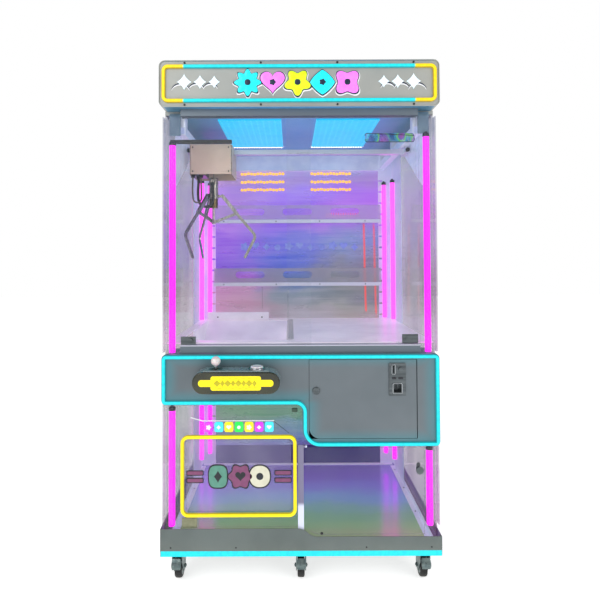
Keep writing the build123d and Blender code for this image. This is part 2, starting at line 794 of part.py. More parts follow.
with BuildPart() as joystick:
    with BuildSketch(Plane.XY.offset(stick_pivot_z - stick_tail)):
        with Locations((stick_x, stick_y)):
            Circle(stick_radius)
    extrude(amount=ball_z - stick_pivot_z + stick_tail)
    with Locations((stick_x, stick_y, stick_pivot_z)):
        Cylinder(hub_radius, hub_height)
    with Locations(Location((stick_x, stick_y, stick_pivot_z), (90, 0, 0))):
        Cylinder(pin_radius, 2 * ring_half_y)
    with Locations((stick_x, stick_y, ball_z)):
        Sphere(ball_radius)
save(joystick.part, "joystick")

with BuildPart() as drop_button:
    with Locations((button_x, stick_y, (console_high - button_depth + button_top) / 2)):
        Cylinder(button_radius, button_top - console_high + button_depth)
    fillet(drop_button.faces().sort_by(Axis.Z)[-1].edges(), button_round)
save(drop_button.part, "drop_button")

# =====================================================================
# Lower front: prize door on the left, access door on the right
# =====================================================================
post_half = 11                  # centre post, an angle-edged channel open to the rear
post_wall = 2
post_depth = 20
bay_panel = 4
ring_left = -445
ring_right = -15
ring_low = 258
ring_high = 557
flap_margin = 18                # ring's outer edge to the opening for the flap
flap_gap = 2
flap_corner = 18
flap_axis_drop = 6              # flap's pivot below its upper edge
ear_inset = 8                   # flap's ears from the edge of the opening, clear of its round corners
ear_width = 9
ear_below = 6
ear_above = 4
ear_back = 4
flap_pin = 17
flap_pin_shift = 3.5            # middle of a flap pin from the edge of the opening
lug_width = 6
lug_height = 6
lug_back = 5
ring_corner = 29
flap_pivot_y = front_y + bay_panel + ear_back
access_left = 14
access_right = 457
access_low = 190
access_high = 508
access_corner = 60              # pane's lower left corner, which swings over the step of the skirt
access_lock_place = (441, 423)
access_pin = 8
access_rod_top = 270            # hinge rod at the lower corner reaches up into the pane
bay_left = ring_left + flap_margin
bay_right = ring_right - flap_margin
bay_low = ring_low + flap_margin
bay_high = ring_high - flap_margin
flap_pivot_z = bay_high - flap_gap - flap_axis_drop
bay_middle = ((bay_left + bay_right) / 2, (bay_low + bay_high) / 2)
access_pivot_x = access_left + 3
access_tabs = ((access_low - 8, access_low - 2), (access_high + 2, access_high + 8))
access_pivot_y = front_y + glass / 2

with BuildPart() as posts:
    add(rear_posts.part)
    block(-post_half, post_half, front_y, front_y + post_depth, base_top, panel_bottom_right)
    block(-post_half + post_wall, post_half - post_wall, front_y + post_wall, front_y + post_depth, base_top,
          panel_bottom_right, mode=Mode.SUBTRACT)
    for z0, z1 in access_tabs:
        block(post_half - post_wall, access_pivot_x + 6, front_y - 3, front_y + 9, z0, z1)
        with Locations((access_pivot_x, access_pivot_y, (z0 + z1) / 2)):
            Cylinder(pin_bore, z1 - z0, mode=Mode.SUBTRACT)
save(posts.part, "posts")

with BuildPart() as prize_front_panel:
    with BuildSketch(front_plane(front_y + bay_panel)):
        with Locations(((-lower_cover_edge - post_half) / 2, (skirt_top_left + panel_bottom_left) / 2)):
            Rectangle(lower_cover_edge - post_half, panel_bottom_left - skirt_top_left - 2 * cover_gap)
        with Locations(bay_middle):
            RectangleRounded(bay_right - bay_left, bay_high - bay_low, flap_corner, mode=Mode.SUBTRACT)
    extrude(amount=bay_panel)
    for side, edge in ((-1, bay_left), (1, bay_right)):
        block(edge, edge + side * lug_width, front_y + bay_panel, flap_pivot_y + lug_back,
              flap_pivot_z - lug_height, flap_pivot_z + lug_height)
        with Locations(Location((edge, flap_pivot_y, flap_pivot_z), (0, 90, 0))):
            Cylinder(pin_bore, 2 * lug_width + 2, mode=Mode.SUBTRACT)
save(prize_front_panel.part, "prize_front_panel")

save(neon_ring(ring_right - ring_left, ring_high - ring_low, ring_corner,
               ((ring_left + ring_right) / 2, (ring_low + ring_high) / 2), front_y), "prize_door_light")

with BuildPart() as prize_flap:
    with BuildSketch(front_plane(front_y + bay_panel)):
        with Locations(bay_middle):
            RectangleRounded(bay_right - bay_left - 2 * flap_gap, bay_high - bay_low - 2 * flap_gap,
                             flap_corner - flap_gap)
    extrude(amount=bay_panel)
    for side, edge in ((-1, bay_left), (1, bay_right)):
        ear = edge - side * ear_inset
        block(ear, ear - side * ear_width, front_y + bay_panel, flap_pivot_y + ear_back,
              flap_pivot_z - ear_below, flap_pivot_z + ear_above)
        with Locations(Location((edge - side * flap_pin_shift, flap_pivot_y, flap_pivot_z), (0, 90, 0))):
            Cylinder(pin_radius, flap_pin)
save(prize_flap.part, "prize_flap")

with BuildPart() as access_door:
    block(access_left, access_right, front_y, front_y + glass, access_low, access_high)
    fillet(access_door.edges().filter_by(Axis.Y).group_by(Axis.X)[0].group_by(Axis.Z)[0], access_corner)
    with Locations((access_pivot_x, access_pivot_y, access_high + access_pin / 2 - 1)):
        Cylinder(pin_radius, access_pin)
    rod_low = access_low - access_pin + 1
    with Locations((access_pivot_x, access_pivot_y, (rod_low + access_rod_top) / 2)):
        Cylinder(pin_radius, access_rod_top - rod_low)
    with Locations(Location((access_lock_place[0], front_y + glass / 2, access_lock_place[1]), (90, 0, 0))):
        Cylinder(lock_shaft + pin_gap, glass + 2, mode=Mode.SUBTRACT)
save(access_door.part, "access_door")

cam_lock(access_lock_place, front_y, access_cam, "access_lock")

# Power supply and mains inlet in the header, and the control board inside the control housing.
supply_left = 120
supply_right = 320
supply_front = 220
supply_depth = 150
supply_height = 70
board_thickness = 14
board_back = front_y + housing_depth - housing_wall
supply_low = header_bottom + sheet
with BuildPart() as electrical_parts:
    block(supply_left, supply_right, supply_front, supply_front + supply_depth, supply_low,
          supply_low + supply_height)
    block(60, 240, board_back - board_thickness, board_back, 600, 760)
    block(inlet_left, inlet_right, rear_y - inlet_depth, rear_y, inlet_low, inlet_high)
    block(inlet_left + 12, inlet_right - 12, rear_y - 12, rear_y, inlet_low + 8, inlet_high - 8,
          mode=Mode.SUBTRACT)
save(electrical_parts.part, "electrical_parts")

# =====================================================================
# Gantry
# =====================================================================
rail_inner = 440
rail_width = 30
rail_bottom = 1690
rail_height = 32
rail_front = front_y + 50
bridge_y = front_y + 293
bridge_bottom = 1662
bridge_height = 20
bridge_half_depth = 15
carriage_width = 18
carriage_half_depth = 50
gusset_low = 1495
gusset_depth = 340
gusset_x = rail_inner + rail_width + 8
channel_depth = 30
channel_low = 1684
cover_left = -454
cover_right = -277
cover_low = 1563
cover_high = rail_bottom - 3
cover_front = bridge_y - 100
cover_rear = bridge_y + 80
cover_sheet = 2
trolley_gap = 0.6
hanger_length = 40              # hangers between rail and ceiling
gusset_end = 20
gusset_foot = 12
knob_radius = 8                 # end stop knob at the right of the bridge
cover_round = 10
drum_plate = 24
claw_x = -368
claw_y = bridge_y
bridge_top = bridge_bottom + bridge_height
rail_outer = rail_inner + rail_width

with BuildPart() as gantry_rails:
    rail_top = rail_bottom + rail_height
    for side in (-1, 1):
        block(side * rail_inner, side * rail_outer, rail_front, film_y - channel_depth, rail_bottom,
              rail_top)
        block(side * (rail_inner + sheet), side * (rail_outer - sheet), rail_front, film_y - channel_depth,
              rail_bottom + sheet, rail_top - sheet, mode=Mode.SUBTRACT)
        for y in (rail_front, bridge_y + 150, film_y - channel_depth - hanger_length):
            block(side * rail_inner, side * rail_outer, y, y + hanger_length, rail_top, window_top)
        block(side * rail_outer, side * gusset_x, rail_front, rail_front + gusset_end,
              rail_bottom + gusset_foot, rail_top)
        with BuildSketch(side_plane(side * gusset_x)):
            with BuildLine():
                Polyline((rail_front, rail_top), (rail_front, gusset_low),
                         (rail_front + gusset_end, gusset_low),
                         (rail_front + gusset_depth, rail_bottom), (rail_front + gusset_depth, rail_top),
                         close=True)
            make_face()
        extrude(amount=side * sheet)
    block(-rail_outer, rail_outer, film_y - channel_depth, film_y - sheet, channel_low, window_top)
    block(-rail_outer, rail_outer, film_y - channel_depth + sheet, film_y - sheet, channel_low + sheet,
          window_top - sheet, mode=Mode.SUBTRACT)
save(gantry_rails.part, "gantry_rails")

with BuildPart() as gantry_bridge:
    beam_half = rail_outer + 4
    block(-beam_half, beam_half, bridge_y - bridge_half_depth, bridge_y + bridge_half_depth, bridge_bottom,
          bridge_top)
    for side in (-1, 1):
        block(side * beam_half, side * (beam_half - carriage_width), bridge_y - carriage_half_depth,
              bridge_y + carriage_half_depth, bridge_bottom, rail_bottom - moving_gap)
    with BuildSketch(front_plane(bridge_y - carriage_half_depth)):
        with Locations((beam_half - carriage_width / 2, (bridge_bottom + bridge_top) / 2)):
            Circle(knob_radius)
    extrude(amount=knob_radius)
save(gantry_bridge.part, "gantry_bridge")

drum_radius = 14
drum_z = 1612
drum_half = 26                  # claw's axis to each drum plate
motor_half = 20
cable_gland = cover_low         # underside of the plate that the cables leave
rope_top = drum_z - drum_radius
rope_radius = 1.5
trolley_left = cover_left + cover_sheet
trolley_right = cover_right - cover_sheet
with BuildPart() as trolley:
    skin = 3
    inner = bridge_half_depth + trolley_gap
    block(trolley_left, trolley_right, bridge_y - inner - skin, bridge_y + inner + skin,
          bridge_bottom - trolley_gap - skin, bridge_top + trolley_gap + 1.5)
    block(trolley_left, trolley_right, bridge_y - inner, bridge_y + inner, bridge_bottom - trolley_gap,
          bridge_top + trolley_gap, mode=Mode.SUBTRACT)
    for side, low in ((-1, cable_gland), (1, drum_z - drum_plate)):
        block(claw_x + side * drum_half, claw_x + side * (drum_half + skin), bridge_y - drum_plate,
              bridge_y + drum_plate, low, bridge_bottom - trolley_gap - skin)
    block(trolley_left + 1, claw_x - drum_half, bridge_y - 66, bridge_y + drum_plate, cable_gland,
          cable_gland + skin)
    with Locations(Location((claw_x, bridge_y, drum_z), (0, 90, 0))):
        Cylinder(drum_radius, 2 * drum_half + skin)
    block(claw_x + drum_half + skin, trolley_right, bridge_y - motor_half, bridge_y + motor_half,
          drum_z - motor_half, drum_z + motor_half)
save(trolley.part, "trolley")

with BuildPart() as trolley_cover:
    block(cover_left, cover_right, cover_front, cover_rear, cover_low, cover_high)
    fillet(trolley_cover.edges().filter_by(Axis.Z), cover_round)
    block(cover_left + cover_sheet, cover_right - cover_sheet, cover_front + cover_sheet,
          cover_rear - cover_sheet, cover_low, cover_high - cover_sheet, mode=Mode.SUBTRACT)
    block(cover_left, cover_right, bridge_y - inner - 1, bridge_y + inner + 1, bridge_bottom - 2,
          bridge_top + 1, mode=Mode.SUBTRACT)
save(trolley_cover.part, "trolley_cover")

# =====================================================================
# Claw
# =====================================================================
barrel_radius = 19.5
barrel_top = cover_low - 1
coil_radius = 18
coil_top = 1470
coil_bottom = 1431
rod_radius = 6
collar_z = 1374                 # height of the prong pivots
prong_pivot_r = 14              # distance of the prong pivots from the claw's axis
link_pivot_r = 39
link_pivot_z = 1483
elbow_r = 100
elbow_z = 1407
knee_r = 183
knee_z = 1309
tip_r = 136
tip_z = 1218
prong_half = 3                  # half the prong's thickness
plate_gap = 0.5                 # beside the prong in its fork
link_sheet = 2.5
flange_radius = 24              # flange of the barrel that carries the link lugs
flange_half = 6
plunger_top = coil_bottom + 62
link_bore = 5                   # link's hole at the elbow, wide enough for the prong's pin to travel in
prong_angles = (0, 120, 240)
claw_axis = Axis((claw_x, claw_y, 0), (0, 0, 1))
gland_front = claw_y - 38
gland_low = 1537


def prong_plane(offset_y):
    """Plane through the claw's axis: sketch X runs outwards along +X, sketch Y is the height."""
    return Plane(origin=(claw_x, claw_y + offset_y, 0), x_dir=(1, 0, 0), z_dir=(0, -1, 0))


def pin_across(r, z, radius, length, mode=Mode.ADD):
    """Pin or hole across a prong, at a distance from the claw's axis."""
    with Locations(Location((claw_x + r, claw_y, z), (90, 0, 0))):
        Cylinder(radius, length, mode=mode)


def turned(part, angle):
    """The part turned about the claw's axis."""
    return part.rotate(claw_axis, angle)


lug_in = prong_half + plate_gap
lug_out = lug_in + link_sheet
with BuildPart() as claw_head:
    with BuildSketch(Plane.XZ.offset(-claw_y)):
        with BuildLine():
            Polyline((claw_x, coil_bottom), (claw_x + coil_radius, coil_bottom),
                     (claw_x + coil_radius, coil_top), (claw_x + barrel_radius, coil_top),
                     (claw_x + barrel_radius, link_pivot_z - flange_half),
                     (claw_x + flange_radius, link_pivot_z - flange_half),
                     (claw_x + flange_radius, link_pivot_z + flange_half),
                     (claw_x + barrel_radius, link_pivot_z + flange_half),
                     (claw_x + barrel_radius, barrel_top), (claw_x, barrel_top), close=True)
        make_face()
    revolve(axis=claw_axis)
    for angle in prong_angles:
        with Locations(Location((claw_x, claw_y, 0), (0, 0, angle))):
            with Locations(((flange_radius + link_pivot_r) / 2, 0, link_pivot_z)):
                Box(link_pivot_r - flange_radius + 6, 2 * prong_half, 10)
            with Locations(Location((link_pivot_r, 0, link_pivot_z), (90, 0, 0))):
                Cylinder(pin_bore, 4 * prong_half, mode=Mode.SUBTRACT)
    with Locations((claw_x, claw_y, plunger_top)):
        Cylinder(rod_radius + pin_gap, 2 * (plunger_top - coil_bottom), mode=Mode.SUBTRACT)
    block(claw_x - 8, claw_x + 8, gland_front, claw_y - barrel_radius + 2, gland_low, gland_low + 16)
save(claw_head.part, "claw_head")

with BuildPart() as claw_plunger:
    with Locations((claw_x, claw_y, (collar_z - 8 + plunger_top) / 2)):
        Cylinder(rod_radius, plunger_top - collar_z + 8)
    for angle in prong_angles:
        with Locations(Location((claw_x, claw_y, 0), (0, 0, angle))):
            for side in (-1, 1):
                with Locations((prong_pivot_r / 2 + 3, side * (lug_in + lug_out) / 2, collar_z)):
                    Box(prong_pivot_r + 6, link_sheet, 12)
            with Locations(Location((prong_pivot_r, 0, collar_z), (90, 0, 0))):
                Cylinder(pin_radius, 2 * lug_out)
    with Locations((claw_x, claw_y, collar_z - 10)):
        Cylinder(10, 4)
save(claw_plunger.part, "claw_plunger")

prong_width = 12                # across the prong, seen from its side
link_width = 15


def prong_profile(points, radii, plane, width):
    """Band of even width along a bent line, with rounded ends."""
    with BuildSketch(plane) as profile:
        with BuildLine() as spine:
            if radii:
                FilletPolyline(*points, radius=radii)
            else:
                Line(*points)
        trace(spine.line, line_width=width)
        for point in (points[0], points[-1]):
            with Locations(point):
                Circle(width / 2)
    return profile.sketch


with BuildPart() as prong_blank:
    extrude(prong_profile(((prong_pivot_r, collar_z), (elbow_r, elbow_z), (knee_r, knee_z), (tip_r, tip_z)),
                          (12, 26), prong_plane(prong_half), prong_width), amount=2 * prong_half)
    pin_across(prong_pivot_r, collar_z, pin_bore, 4 * prong_half, Mode.SUBTRACT)
    pin_across(elbow_r, elbow_z, pin_radius, 2 * lug_out)

with BuildPart() as link_blank:
    for offset_y in (lug_out, -lug_in):
        band = prong_profile(((link_pivot_r, link_pivot_z), (elbow_r, elbow_z)), (), prong_plane(offset_y),
                             link_width)
        extrude(band, amount=link_sheet)
    pin_across(link_pivot_r, link_pivot_z, pin_radius, 2 * lug_out)
    pin_across(elbow_r, elbow_z, link_bore, 4 * lug_out, Mode.SUBTRACT)
    with Locations((claw_x + (link_pivot_r + elbow_r) / 2 - 8, claw_y, (link_pivot_z + elbow_z) / 2 + 10)):
        Box(8, 2 * lug_out, 4)

for number, angle in enumerate(prong_angles, start=1):
    save(turned(prong_blank.part, angle), f"claw_prong_{number}")
    save(turned(link_blank.part, angle), f"claw_link_{number}")

with BuildPart() as claw_rope:
    with Locations((claw_x, claw_y, (rope_top + barrel_top) / 2)):
        Cylinder(rope_radius, rope_top - barrel_top)
save(claw_rope.part, "claw_rope")

# =====================================================================
# Cables
# =====================================================================
def cable(points, radius, name):
    """Round cable along straight runs joined by arcs as large as the runs allow."""
    places = [Vector(*p) for p in points]
    radii = []
    for before, corner, after in zip(places, places[1:], places[2:]):
        turn = (corner - before).get_angle(after - corner)
        shorter = min((corner - before).length, (after - corner).length)
        radii.append(0.45 * shorter / math.tan(math.radians(turn / 2)))
    print(name, "bend radii", [round(r) for r in radii])
    with BuildPart() as tube:
        with BuildLine() as route:
            FilletPolyline(*places, radius=radii)
        start = route.line @ 0
        with BuildSketch(Plane(origin=start, z_dir=route.line % 0)) as section:
            Circle(radius)
        sweep(section.sketch, path=route.line)
    length = sum(edge.length for edge in route.line.edges())
    evenness = tube.part.volume / (math.pi * radius**2 * length)
    print(name, "volume over section times length", round(evenness, 4))
    save(tube.part, name)


cable_radius = 6
claw_cable_points = ((-428, claw_y - 32, cable_gland), (-428, claw_y - 32, 1536), (-430, claw_y - 33, 1507),
                     (-430, claw_y - 33, 1479), (-427, claw_y - 33, 1453), (-409, claw_y - 32, 1435),
                     (-384, claw_y - 31, 1434), (-366.5, claw_y - 31, 1452), (-365, claw_y - 30, 1481),
                     (-368, claw_y - 30, 1508), (-368, claw_y - 30, gland_low))
wire_radius = 3.5
wire_points = ((-447, claw_y - 60, cable_gland), (-447, claw_y - 60, 1538), (-449, claw_y - 61, 1514),
               (-448, claw_y - 61, 1492), (-446.5, claw_y - 61, 1473), (-445.5, claw_y - 60, 1459),
               (-435, claw_y - 59, 1449), (-421, claw_y - 58, 1450), (-412, claw_y - 57, 1461),
               (-411, claw_y - 56, 1476), (-411.5, claw_y - 56, 1496), (-412.5, claw_y - 56, 1517),
               (-413, claw_y - 57, 1540), (-413, claw_y - 57, cable_gland))
cable(claw_cable_points, cable_radius, "claw_cable")
cable(wire_points, wire_radius, "wire_loop")
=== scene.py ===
import math

import bmesh
import bpy
import numpy as np
from mathutils import Matrix, Vector


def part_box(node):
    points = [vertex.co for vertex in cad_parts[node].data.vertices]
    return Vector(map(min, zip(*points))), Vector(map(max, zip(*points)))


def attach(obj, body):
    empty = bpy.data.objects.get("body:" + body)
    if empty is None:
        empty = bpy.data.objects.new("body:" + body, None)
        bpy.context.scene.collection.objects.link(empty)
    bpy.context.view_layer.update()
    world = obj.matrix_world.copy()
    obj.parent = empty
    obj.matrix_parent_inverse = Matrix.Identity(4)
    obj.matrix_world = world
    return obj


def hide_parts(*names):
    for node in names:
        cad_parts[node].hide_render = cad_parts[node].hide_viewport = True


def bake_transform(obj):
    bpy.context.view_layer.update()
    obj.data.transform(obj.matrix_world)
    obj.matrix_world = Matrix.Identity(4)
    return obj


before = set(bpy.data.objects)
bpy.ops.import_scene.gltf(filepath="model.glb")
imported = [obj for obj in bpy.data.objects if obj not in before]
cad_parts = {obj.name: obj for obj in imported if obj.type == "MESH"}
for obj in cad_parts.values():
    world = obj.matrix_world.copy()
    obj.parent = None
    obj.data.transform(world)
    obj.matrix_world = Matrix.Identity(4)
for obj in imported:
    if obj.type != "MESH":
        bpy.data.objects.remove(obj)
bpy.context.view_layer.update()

print("frame loaded:", len(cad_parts), "nodes")
scene = bpy.context.scene

# Camera.
cameraPlace = {"x": -33, "back": 1850, "height": 1204.6, "pitch": 1.4, "roll": -0.24, "lens": 29.64,
               "shiftX": 0.015, "shiftY": -0.0868}
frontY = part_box("control_panel")[1].y * 1000          # plane of the windows' front, mm
cameraData = bpy.data.cameras.new("camera")
cameraData.lens = cameraPlace["lens"]
cameraData.sensor_width = 36
cameraData.shift_x = cameraPlace["shiftX"]
cameraData.shift_y = cameraPlace["shiftY"]
cameraData.clip_end = 60
camera = bpy.data.objects.new("camera", cameraData)
scene.collection.objects.link(camera)
camera.location = (cameraPlace["x"] / 1000, (frontY - cameraPlace["back"]) / 1000,
                   cameraPlace["height"] / 1000)
turn = Matrix.Rotation(math.radians(90 + cameraPlace["pitch"]), 4, "X")
camera.rotation_euler = (turn @ Matrix.Rotation(math.radians(cameraPlace["roll"]), 4, "Z")).to_euler()
scene.camera = camera
scene.view_settings.view_transform = "Standard"


# Mesh making: every shape is an array of points in millimetres.
def boxOf(nodeName):
    low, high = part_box(nodeName)
    return np.array(low) * 1000, np.array(high) * 1000


# Quads between the rows and columns of each grid; the seams are welded and the faces turned outwards.
def makePiece(name, grids, material, body, sharpAngle=40, stands=()):
    places, quads, start = [], [], 0
    for points, wrapRows, wrapColumns in grids:
        rows, columns = points.shape[:2]
        index = start + np.arange(rows * columns).reshape(rows, columns)
        if wrapRows:
            index = np.vstack([index, index[:1]])
        if wrapColumns:
            index = np.hstack([index, index[:, :1]])
        corners = [index[:-1, :-1], index[:-1, 1:], index[1:, 1:], index[1:, :-1]]
        quads.append(np.stack(corners, -1).reshape(-1, 4))
        places.append(points.reshape(-1, 3))
        start += rows * columns
    mesh = bpy.data.meshes.new(name)
    mesh.from_pydata((np.vstack(places) / 1000).tolist(), [], np.vstack(quads).tolist())
    work = bmesh.new()
    work.from_mesh(mesh)
    bmesh.ops.remove_doubles(work, verts=work.verts, dist=1e-6)
    bmesh.ops.dissolve_degenerate(work, edges=work.edges, dist=1e-7)
    bmesh.ops.recalc_face_normals(work, faces=work.faces)
    work.to_mesh(mesh)
    work.free()
    mesh.polygons.foreach_set("use_smooth", np.ones(len(mesh.polygons), bool))
    mesh.set_sharp_from_angle(angle=math.radians(sharpAngle))
    mesh.materials.append(material)
    piece = bpy.data.objects.new(name, mesh)
    scene.collection.objects.link(piece)
    if body:
        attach(piece, body)
    if stands:
        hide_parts(*stands)
    return piece


axes = {"up": ((1, 0, 0), (0, 1, 0), (0, 0, 1)), "front": ((1, 0, 0), (0, 0, 1), (0, -1, 0)),
        "right": ((0, 1, 0), (0, 0, 1), (1, 0, 0)), "back": ((-1, 0, 0), (0, 0, 1), (0, 1, 0)),
        "left": ((0, -1, 0), (0, 0, 1), (-1, 0, 0)), "down": ((1, 0, 0), (0, -1, 0), (0, 0, -1))}


# Point = centre + radius·(cos t, sin t) across the axis + height along it,
# for each (radius, height) of the profile.
def turned(profile, centre, axis="up", segments=40, ring=False):
    across, beside, along = (np.array(v, float) for v in axes[axis])
    profile = np.array(profile, float)
    t = np.linspace(0, 2 * math.pi, segments, endpoint=False)
    circle = np.cos(t)[:, None] * across + np.sin(t)[:, None] * beside
    points = np.array(centre, float) + profile[:, 0, None, None] * circle + profile[:, 1, None,
            None] * along
    return points, ring, True


# Outline scaled towards its middle by each layer's share and lifted by its height:
# point = centre + share·outline + height.
def plaque(outline, centre, layers, axis="front"):
    across, beside, along = (np.array(v, float) for v in axes[axis])
    flat = outline[:, :1] * across + outline[:, 1:] * beside
    layers = np.array(layers, float)
    points = np.array(centre, float) + layers[:, 0, None, None] * flat + layers[:, 1, None, None] * along
    return points, False, True


# Section carried along a path: point = path + side·section x + up·section y, with side across the tangent.
def carried(section, path, up, sizes=None, closed=False):
    path = np.array(path, float)
    tangent = np.roll(path, -1, 0) - np.roll(path, 1, 0) if closed else np.gradient(path, axis=0)
    tangent /= np.linalg.norm(tangent, axis=1)[:, None]
    side = np.cross(tangent, np.array(up, float))
    side /= np.linalg.norm(side, axis=1)[:, None]
    rise = np.cross(side, tangent)
    sizes = np.ones(len(path)) if sizes is None else np.array(sizes, float)
    section = np.array(section, float)
    if section.ndim == 2:
        section = np.broadcast_to(section, (len(path), *section.shape))
    shaped = section * sizes[:, None, None]
    points = path[:, None] + shaped[..., :1] * side[:, None] + shaped[..., 1:] * rise[:, None]
    if not closed:
        points = np.concatenate([points[:1].mean(1, keepdims=True).repeat(points.shape[1], 1), points,
                                 points[-1:].mean(1, keepdims=True).repeat(points.shape[1], 1)])
    return points, closed, True


# Superellipse: |x/halfWidth|^power + |y/halfHeight|^power = 1.
# Power 2 is round, 6 a soft rectangle, 0.8 a sparkle.
def softBox(width, height, power=6.0, count=64):
    t = np.linspace(0, 2 * math.pi, count, endpoint=False)
    c, s = np.cos(t), np.sin(t)
    return np.stack([width / 2 * np.sign(c) * abs(c) ** (2 / power),
                     height / 2 * np.sign(s) * abs(s) ** (2 / power)], 1)


# Rounded rectangle: corner centres plus radius·(cos t, sin t), a quarter turn at each corner.
def roundedBox(width, height, radius, count=8):
    t = np.linspace(0, math.pi / 2, count)
    corners = [((width / 2 - radius) * sx, (height / 2 - radius) * sy) for sx,
               sy in ((1, 1), (-1, 1), (-1, -1), (1, -1))]
    arcs = [np.stack([x + radius * np.cos(t + k * math.pi / 2), y + radius * np.sin(t + k * math.pi / 2)],
                     1)
            for k, (x, y) in enumerate(corners)]
    return np.vstack(arcs)


# Petalled circle: radius·(1 + depth·cos(petals·t)).
def petals(radius, number, depth, phase=0.0, count=96):
    t = np.linspace(0, 2 * math.pi, count, endpoint=False)
    r = radius * (1 + depth * np.cos(number * t + phase))
    return np.stack([r * np.cos(t), r * np.sin(t)], 1)


# Heart curve: x = 16 sin³t, y = 13 cos t − 5 cos 2t − 2 cos 3t − cos 4t, scaled to the size.
def heart(size, count=96):
    t = np.linspace(0, 2 * math.pi, count, endpoint=False)
    x, y = 16 * np.sin(t) ** 3, 13 * np.cos(t) - 5 * np.cos(2 * t) - 2 * np.cos(3 * t) - np.cos(4 * t)
    return np.stack([x, y + 2], 1) * size / 32


# Profile of a flat plaque with eased edges, as (share of the outline, height) pairs.
def slab(depth, soft=0.03):
    return [(0, 0), (1, 0), (1, depth * 0.7), (1 - soft / 2, depth * 0.93), (1 - soft, depth), (0, depth)]


# Profile of a plaque that swells towards its middle.
def dome(depth):
    return [(0, 0), (1, 0), (1, depth * 0.3), (0.96, depth * 0.55), (0.88, depth * 0.78),
            (0.74, depth * 0.92),
            (0.5, depth), (0, depth)]


# Materials.
foilFace = boxOf("rear_panel")[0][1] / 1000
skirtInside = boxOf("base_skirt")[1][0] / 1000 - 0.0008
# sRGB channel to linear: c/12.92 below 0.04045, else ((c+0.055)/1.055)^2.4.
def linear(hexColour):
    c = np.array([int(hexColour[i:i + 2], 16) for i in (1, 3, 5)]) / 255
    return (*np.where(c <= 0.04045, c / 12.92, ((c + 0.055) / 1.055) ** 2.4).tolist(), 1.0)


def addNode(tree, kind, inputs=None, **settings):
    node = tree.nodes.new(kind)
    for key, value in settings.items():
        setattr(node, key, value)
    for key, value in (inputs or {}).items():
        if isinstance(value, bpy.types.NodeSocket):
            tree.links.new(value, node.inputs[key])
        else:
            node.inputs[key].default_value = value
    return node


def math2(tree, operation, first, second=0.0):
    return addNode(tree, "ShaderNodeMath", {0: first, 1: second}, operation=operation).outputs[0]


# 0 to 1 as a value goes from low to high, with soft ends.
def fade(tree, value, low, high, toLow=0.0, toHigh=1.0):
    return addNode(tree, "ShaderNodeMapRange", {0: value, 1: low, 2: high, 3: toLow, 4: toHigh},
                   interpolation_type="SMOOTHSTEP").outputs[0]


def mixColour(tree, share, first, second, blend="MIX"):
    return addNode(tree, "ShaderNodeMix", {0: share, 6: first, 7: second}, data_type="RGBA",
                   blend_type=blend).outputs[2]


def speckle(tree, coords, sizeMm, stretch=(1, 1, 1), detail=3.0, rough=0.55):
    placed = addNode(tree, "ShaderNodeMapping", {0: coords, 3: stretch})
    return addNode(tree, "ShaderNodeTexNoise", {"Vector": placed.outputs[0], "Scale": 1000 / sizeMm,
                                                "Detail": detail, "Roughness": rough}).outputs[0]


# Colour ramp over a range of a value: stops are (value, hex).
def ramp(tree, value, stops, interpolation="EASE"):
    low, high = stops[0][0], stops[-1][0]
    share = addNode(tree, "ShaderNodeMapRange", {0: value, 1: low, 2: high}).outputs[0]
    node = addNode(tree, "ShaderNodeValToRGB", {0: share})
    node.color_ramp.interpolation = interpolation
    while len(node.color_ramp.elements) < len(stops):
        node.color_ramp.elements.new(0.5)
    for element, (place, hexColour) in zip(node.color_ramp.elements, stops):
        element.position = (place - low) / (high - low)
    for element, (place, hexColour) in zip(node.color_ramp.elements, stops):
        element.color = linear(hexColour)
    return node.outputs[0]


# One surface: two colours mottled at mottleMm, roughness between two values at hazeMm, and relief
# grainMm across and reliefMm high. Stretch draws the grain out. Paint and glow are functions of the
# tree, coords and colour: paint returns another colour, glow a tint and a strength.
def surface(name, colours, mottleMm, rough, hazeMm, grainMm, reliefMm, stretch=(1, 1, 1), paint=None,
            alpha=None,
            glow=None, fixed=None):
    material = bpy.data.materials.new(name)
    material.use_nodes = True
    tree = material.node_tree
    tree.nodes.clear()
    output = addNode(tree, "ShaderNodeOutputMaterial")
    coords = addNode(tree, "ShaderNodeTexCoord").outputs["Object"]
    mottle = fade(tree, speckle(tree, coords, mottleMm, stretch), 0.3, 0.7)
    colour = mixColour(tree, mottle, linear(colours[0]), linear(colours[1]))
    if paint:
        colour = paint(tree, coords, colour)
    roughness = fade(tree, speckle(tree, coords, hazeMm, stretch, 4.0), 0.25, 0.75, *rough)
    relief = speckle(tree, coords, grainMm, stretch, 2.0)
    bump = addNode(tree, "ShaderNodeBump", {"Strength": 0.8, "Distance": reliefMm / 1000, "Height": relief})
    shader = addNode(tree, "ShaderNodeBsdfPrincipled", {"Base Color": colour, "Roughness": roughness,
                                                        "Normal": bump.outputs[0]})
    for key, value in (fixed or {}).items():
        shader.inputs[key].default_value = value
    if alpha:
        tree.links.new(alpha(tree, coords), shader.inputs["Alpha"])
        material.surface_render_method = "BLENDED"
    if glow:
        for key, value in zip(("Emission Color", "Emission Strength"), glow(tree, coords, colour)):
            if isinstance(value, bpy.types.NodeSocket):
                tree.links.new(value, shader.inputs[key])
            else:
                shader.inputs[key].default_value = value
    tree.links.new(shader.outputs[0], output.inputs[0])
    return material


def axisOf(tree, coords, index):
    return addNode(tree, "ShaderNodeSeparateXYZ", {0: coords}).outputs[index]


def facing(tree, index):
    normal = addNode(tree, "ShaderNodeTexCoord").outputs["Normal"]
    return math2(tree, "ABSOLUTE", axisOf(tree, normal, index))


